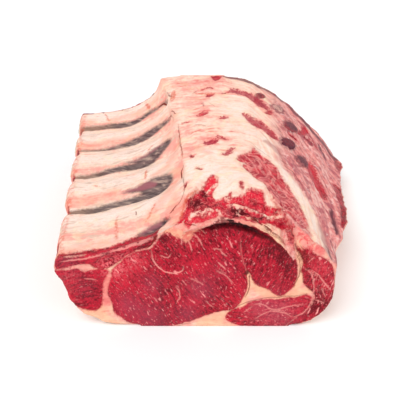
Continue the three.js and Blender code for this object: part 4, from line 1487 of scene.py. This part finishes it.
def edge_group(name):
    """Turns a distance in millimetres into a mask with a ragged edge."""
    inputs = {"Distance": "Float", "Place": "Vector", "Ragged": "Float", "Soft": "Float"}
    group = Effect(name, inputs, ["Mask"])
    given = group.given
    shift = group.sway(group.grain(given["Place"], *EDGE_NOISE), given["Ragged"], given["Distance"])
    group.feed(group.put["Mask"], group.step(group.maths("DIVIDE", shift, given["Soft"]), -1, 1))
    return group.tree


def wet_group(name):
    """Roughness and film of a moist surface. Places are in millimetres."""
    group = Effect(name, {"Place": "Vector", "Dryness": "Float"}, ["Roughness", "Film"])
    patches = group.grain(group.given["Place"], WET_PATCHES)
    rough = group.scaled(patches, UNEVEN_ROUGHNESS, WET_ROUGHNESS)
    group.feed(group.put["Roughness"], group.scaled(group.given["Dryness"], DRY_ROUGHNESS, rough))
    group.feed(group.put["Film"], group.step(patches, *FILM_SPAN))
    return group.tree


EFFECTS = {
    "Marbling": marbling_group,
    "Fibre streaks": streak_group,
    "Ragged edge": edge_group,
    "Wet film": wet_group,
}


def solid(tone):
    """A colour for a socket: a setting by its name, or three parts out of 255."""
    colour = getattr(bpy.context.scene.rack_colours, tone) if isinstance(tone, str) else linear(*tone)
    return (*colour, 1)


class Look(Nodes):
    """A material with its shader, the object's places in millimetres and its named values."""

    def __init__(self, name):
        self.material = bpy.data.materials.new(name)
        self.material.use_nodes = True
        super().__init__(self.material.node_tree)
        self.shader = next(n for n in self.tree.nodes if n.type == "BSDF_PRINCIPLED").inputs
        self.place = self.vector("MULTIPLY", self.add("TexCoord").outputs["Object"], (1 / MM,) * 3)
        self.values = {}

    def effect(self, name, **inputs):
        """A shared effect, whose group is made when it is first asked for."""
        group = bpy.data.node_groups.get(name) or EFFECTS[name](name)
        return self.add("Group", inputs, node_tree=group).outputs

    def value(self, source):
        """A noise for a tuple, a named value, a mark pushed up and down, or a mark of the mesh."""
        if isinstance(source, tuple):
            return self.grain(self.place, *source)
        if source not in self.values and source in UNEVEN:
            base, *pushes = UNEVEN[source]
            made = self.value(base)
            for noise_source, amount in pushes:
                made = self.sway(self.value(noise_source), amount, made)
            self.values[source] = made
        elif source not in self.values:
            self.values[source] = self.add("Attribute", attribute_name=source).outputs["Fac"]
        return self.values[source]

    def edged(self, mark, ragged, soft):
        """Where a distance mark is over nought, with a ragged edge."""
        inputs = {"Distance": self.value(mark), "Place": self.place, "Ragged": ragged, "Soft": soft}
        return self.effect("Ragged edge", **inputs)["Mask"]

    def layered(self, colour, layers):
        """A colour with layers of other colours over it."""
        for source, span, mark, share, tone in layers:
            mask = self.value(source)
            if span:
                mask = self.step(mask, *span)
            if mark:
                mask = self.times(mask, self.value(mark))
            colour = self.blend(self.times(mask, share), colour, solid(tone))
        return colour

    def finish(self, colour, dryness, specular, height, strength, rise):
        """Feeds the shader a colour, a moist film and a bumpy surface."""
        film = self.effect("Wet film", Place=self.place, Dryness=dryness)
        bump = self.add("Bump", {"Height": height, "Strength": strength, "Distance": rise * MM})
        self.feed(self.shader["Base Color"], colour)
        self.feed(self.shader["Roughness"], film["Roughness"])
        self.feed(self.shader["Normal"], bump.outputs["Normal"])
        self.shader["Specular IOR Level"].default_value = specular
        return film["Film"]


def fat_colour(look):
    """Cream fat that turns pink and then grey-pink, with smears of blood and streaks along it."""
    near_lean = look.times(look.step(look.value("lean"), *NEAR_LEAN), NEAR_LEAN_PINK)
    share = look.maths("ADD", look.value("blushing"), near_lean)
    look.values["pinkness"] = look.scaled(look.value("smear"), SMEAR_PINK, share)
    look.values["shreds"] = look.maths("SUBTRACT", look.value("torn"), look.value("strand"), clamp=True)
    look.values["dashes"] = look.effect("Marbling", Flow=look.values["flow"], Amount=FAT_DASHES)["Mask"]
    return look.layered(solid("fat_white"), FAT_LAYERS)


def lean_colour(look):
    """Lean meat, deeper in places, with marbling on the cut and fibres on top."""
    torn = look.value("torn")
    whole = look.times(look.value("redness"), look.maths("SUBTRACT", 1, torn))
    look.values["depth"] = look.scaled(look.value("heaps"), torn, whole)
    fibrous = look.times(look.value("fibre"), FIBRE_BRIGHT)
    look.values["bare"] = look.maths("MAXIMUM", look.scaled(torn, *TORN_BRIGHT), fibrous)
    marbling = look.effect("Marbling", Flow=look.values["flow"], Amount=look.value("marble"))
    look.values["marbling"] = marbling["Mask"]
    return look.layered(solid("lean"), LEAN_LAYERS)


def membrane_colour(look):
    """Thin grey skin between the ribs, with slanting fibres, tan at its outer end."""
    turn = {"Vector": look.place, "Angle": MEMBRANE_SLANT}
    slanted = look.add("VectorRotate", turn, rotation_type="Z_AXIS").outputs[0]
    width, length = MEMBRANE_FIBRES
    fibres = look.effect("Fibre streaks", Flow=slanted, Width=width, Length=length)
    look.values["skin fibre"] = fibres["Value"]
    look.values["left"] = look.add("SeparateXYZ", {0: look.place}).outputs[0]
    return look.layered(solid("membrane"), MEMBRANE_LAYERS)


def flesh_material():
    look = Look("Flesh and fat")
    values = look.values
    values["flow"] = look.add("Attribute", attribute_name="flow").outputs["Vector"]
    for name, (width, length) in FIBRES.items():
        fibres = look.effect("Fibre streaks", Flow=values["flow"], Width=width, Length=length)
        values[name] = fibres["Value"]
        values[name + " thread"] = fibres["Thread"]
    for name, noise_shape in VEINS.items():
        values[name] = look.veins(look.place, *noise_shape)
    for name in ("sinew", "crack"):
        values[name + " line"] = look.maths("ABSOLUTE", look.value(name + " way"))
    # the fringe of the crevice's painted shadow
    values["gap edge"] = look.step(look.value("crevice"), *CREVICE_SHADOW_FRINGE)
    marbled = look.step(look.value("marble"), *MARBLED)
    ragged = look.scaled(look.value("ragged"), TORN_RAGGED, look.scaled(marbled, *LEAN_RAGGED))
    bared = look.edged("lean", ragged, look.scaled(marbled, *LEAN_SOFT))
    colour = look.blend(bared, fat_colour(look), lean_colour(look))
    skin = look.times(look.edged("membrane", *MEMBRANE_ROUGH), MEMBRANE_SHARE)
    colour = look.blend(skin, colour, membrane_colour(look))
    colour = look.layered(colour, STAIN_AND_SHADOW_LAYERS)
    height = look.scaled(values["streak"], STREAK_HEIGHT, look.value(GRIT))
    height = look.scaled(values["marbling"], MARBLING_HEIGHT, height)
    film = look.finish(colour, look.maths("SUBTRACT", 1, bared), FLESH_SHINE, height, *FLESH_BUMP)
    look.feed(look.shader["Coat Weight"], look.times(film, COAT))
    look.shader["Coat Roughness"].default_value = COAT_ROUGHNESS
    return look.material


def bone_material(name, edge, core, rim_from, ragged, swirls):
    """Sawn bone: a dense edge round a spongy core."""
    look = Look(name)
    edge, core = np.array(edge), np.array(core)
    pores = look.cells(look.place, BONE_CELLS)["Distance"]
    cloud = look.value(BONE_CLOUDS)
    sponge = look.blend(look.step(pores, *PORE_SPAN), (*core, 1), (*between((core, edge), PORE_WALL), 1))
    sponge = look.blend(look.step(cloud, *CORE_CLOUDS), sponge, (*(CORE_DARK * core), 1))
    swirl = look.step(look.veins(look.place, *SWIRLS), *SWIRL_SPAN)
    sponge = look.blend(look.times(swirl, swirls), sponge, solid(SWIRL_COLOUR))
    stain = look.blend(look.step(cloud, *EDGE_CLOUDS), (*edge, 1), (*(EDGE_DARK * edge), 1))
    share = look.sway(look.value(RIM_NOISE), ragged, look.value("rim"))
    colour = look.blend(look.step(share, rim_from, rim_from + RIM_SOFT), sponge, stain)
    look.finish(colour, 1, BONE_SHINE, look.scaled(pores, -1, look.value(BONE_GRIT)), *BONE_BUMP)
    return look.material


class RACK_OT_flesh(bpy.types.Operator):
    """Make the flesh and fat with their marbling, membranes and torn top"""

    bl_idname = "rack.flesh"
    bl_label = "Flesh"

    def execute(self, context):
        piece = make_flesh(context.scene.rack_sizes)
        piece.data.materials.append(flesh_material())
        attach(piece, "root")
        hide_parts("meat")
        return {"FINISHED"}


class RACK_OT_ribs(bpy.types.Operator):
    """Make the rib bones with their sawn ends"""

    bl_idname = "rack.ribs"
    bl_label = "Rib bones"

    def execute(self, context):
        colours = context.scene.rack_colours
        material = bone_material("Rib bone", colours.bone, colours.marrow, *RIB_LOOK)
        for name in RIBS:
            piece = make_rib(name, context.scene.rack_sizes)
            piece.data.materials.append(material)
            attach(piece, "root")
            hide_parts(name)
        return {"FINISHED"}


class RACK_OT_chine(bpy.types.Operator):
    """Make the sawn bone ends of the backbone"""

    bl_idname = "rack.chine"
    bl_label = "Chine bone ends"

    def execute(self, context):
        for name, (marrow, edge) in zip(CHINES, CHINE_LOOKS):
            piece = make_chine(name, context.scene.rack_sizes)
            look = bone_material(name + "_marrow", linear(*edge), linear(*marrow), *CHINE_LOOK)
            piece.data.materials.append(look)
            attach(piece, "root")
            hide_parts(name)
        return {"FINISHED"}


def floor_material(colour):
    material = bpy.data.materials.new("Floor")
    material.use_nodes = True
    shader = next(n for n in material.node_tree.nodes if n.type == "BSDF_PRINCIPLED")
    shader.inputs["Base Color"].default_value = (*colour, 1)
    shader.inputs["Roughness"].default_value = FLOOR_ROUGHNESS
    shader.inputs["Specular IOR Level"].default_value = FLOOR_SHINE
    return material


def soft_light(name, toward, spread, strength):
    """A broad, even light that shines from one side."""
    light = bpy.data.lights.new(name, "SUN")
    light.angle = math.radians(spread)
    light.energy = strength
    lamp = bpy.data.objects.new(name, light)
    lamp.rotation_euler = (-Vector(toward)).to_track_quat("-Z", "Y").to_euler()
    bpy.context.scene.collection.objects.link(lamp)


class RACK_OT_stage(bpy.types.Operator):
    """Make the pale floor, the soft lights and the camera"""

    bl_idname = "rack.stage"
    bl_label = "Stage"

    def execute(self, context):
        scene = context.scene
        stage = scene.rack_stage
        made = bmesh.new()
        bmesh.ops.create_grid(made, x_segments=1, y_segments=1, size=FLOOR_HALF)
        floor = new_piece("floor", made)
        floor.data.materials.append(floor_material(stage.floor))
        world = bpy.data.worlds.new("Studio")
        world.use_nodes = True
        scene.world = world
        background = world.node_tree.nodes["Background"]
        background.inputs["Color"].default_value = WHITE
        background.inputs["Strength"].default_value = stage.sky
        soft_light("Key", KEY_FROM, KEY_SPREAD, stage.key)
        soft_light("Fill", FILL_FROM, FILL_SPREAD, FILL_SHARE * stage.key)
        camera = bpy.data.cameras.new("Camera")
        camera.lens = stage.lens
        camera.sensor_width = SENSOR
        camera.clip_start = NEAR_CLIP
        eye = bpy.data.objects.new("Camera", camera)
        eye.location = CAMERA_PLACE
        eye.rotation_euler = (math.pi / 2 - stage.pitch, 0, 0)
        scene.collection.objects.link(eye)
        scene.camera = eye
        scene.view_settings.view_transform = "Standard"
        return {"FINISHED"}


class RACK_PT_panel(bpy.types.Panel):
    """Buttons and sizes of the rack"""

    bl_idname = "RACK_PT_panel"
    bl_label = "Forerib rack"
    bl_space_type = "VIEW_3D"
    bl_region_type = "UI"
    bl_category = "Rack"

    def draw(self, context):
        for settings in (context.scene.rack_sizes, context.scene.rack_colours, context.scene.rack_stage):
            box = self.layout.box()
            for name in settings.__annotations__:
                box.prop(settings, name)
        for operator in OPERATORS:
            self.layout.operator(operator.bl_idname)


SETTINGS = {"rack_sizes": RackSizes, "rack_colours": RackColours, "rack_stage": RackStage}
OPERATORS = (RACK_OT_flesh, RACK_OT_ribs, RACK_OT_chine, RACK_OT_stage)
CLASSES = (*SETTINGS.values(), *OPERATORS, RACK_PT_panel)


def register():
    for kind in CLASSES:
        bpy.utils.register_class(kind)
    for name, kind in SETTINGS.items():
        setattr(bpy.types.Scene, name, bpy.props.PointerProperty(type=kind))


def unregister():
    for name in SETTINGS:
        delattr(bpy.types.Scene, name)
    for kind in reversed(CLASSES):
        bpy.utils.unregister_class(kind)


def main():
    register()
    bpy.ops.rack.flesh()
    bpy.ops.rack.ribs()
    bpy.ops.rack.chine()
    bpy.ops.rack.stage()


if __name__ == "__main__":
    main()
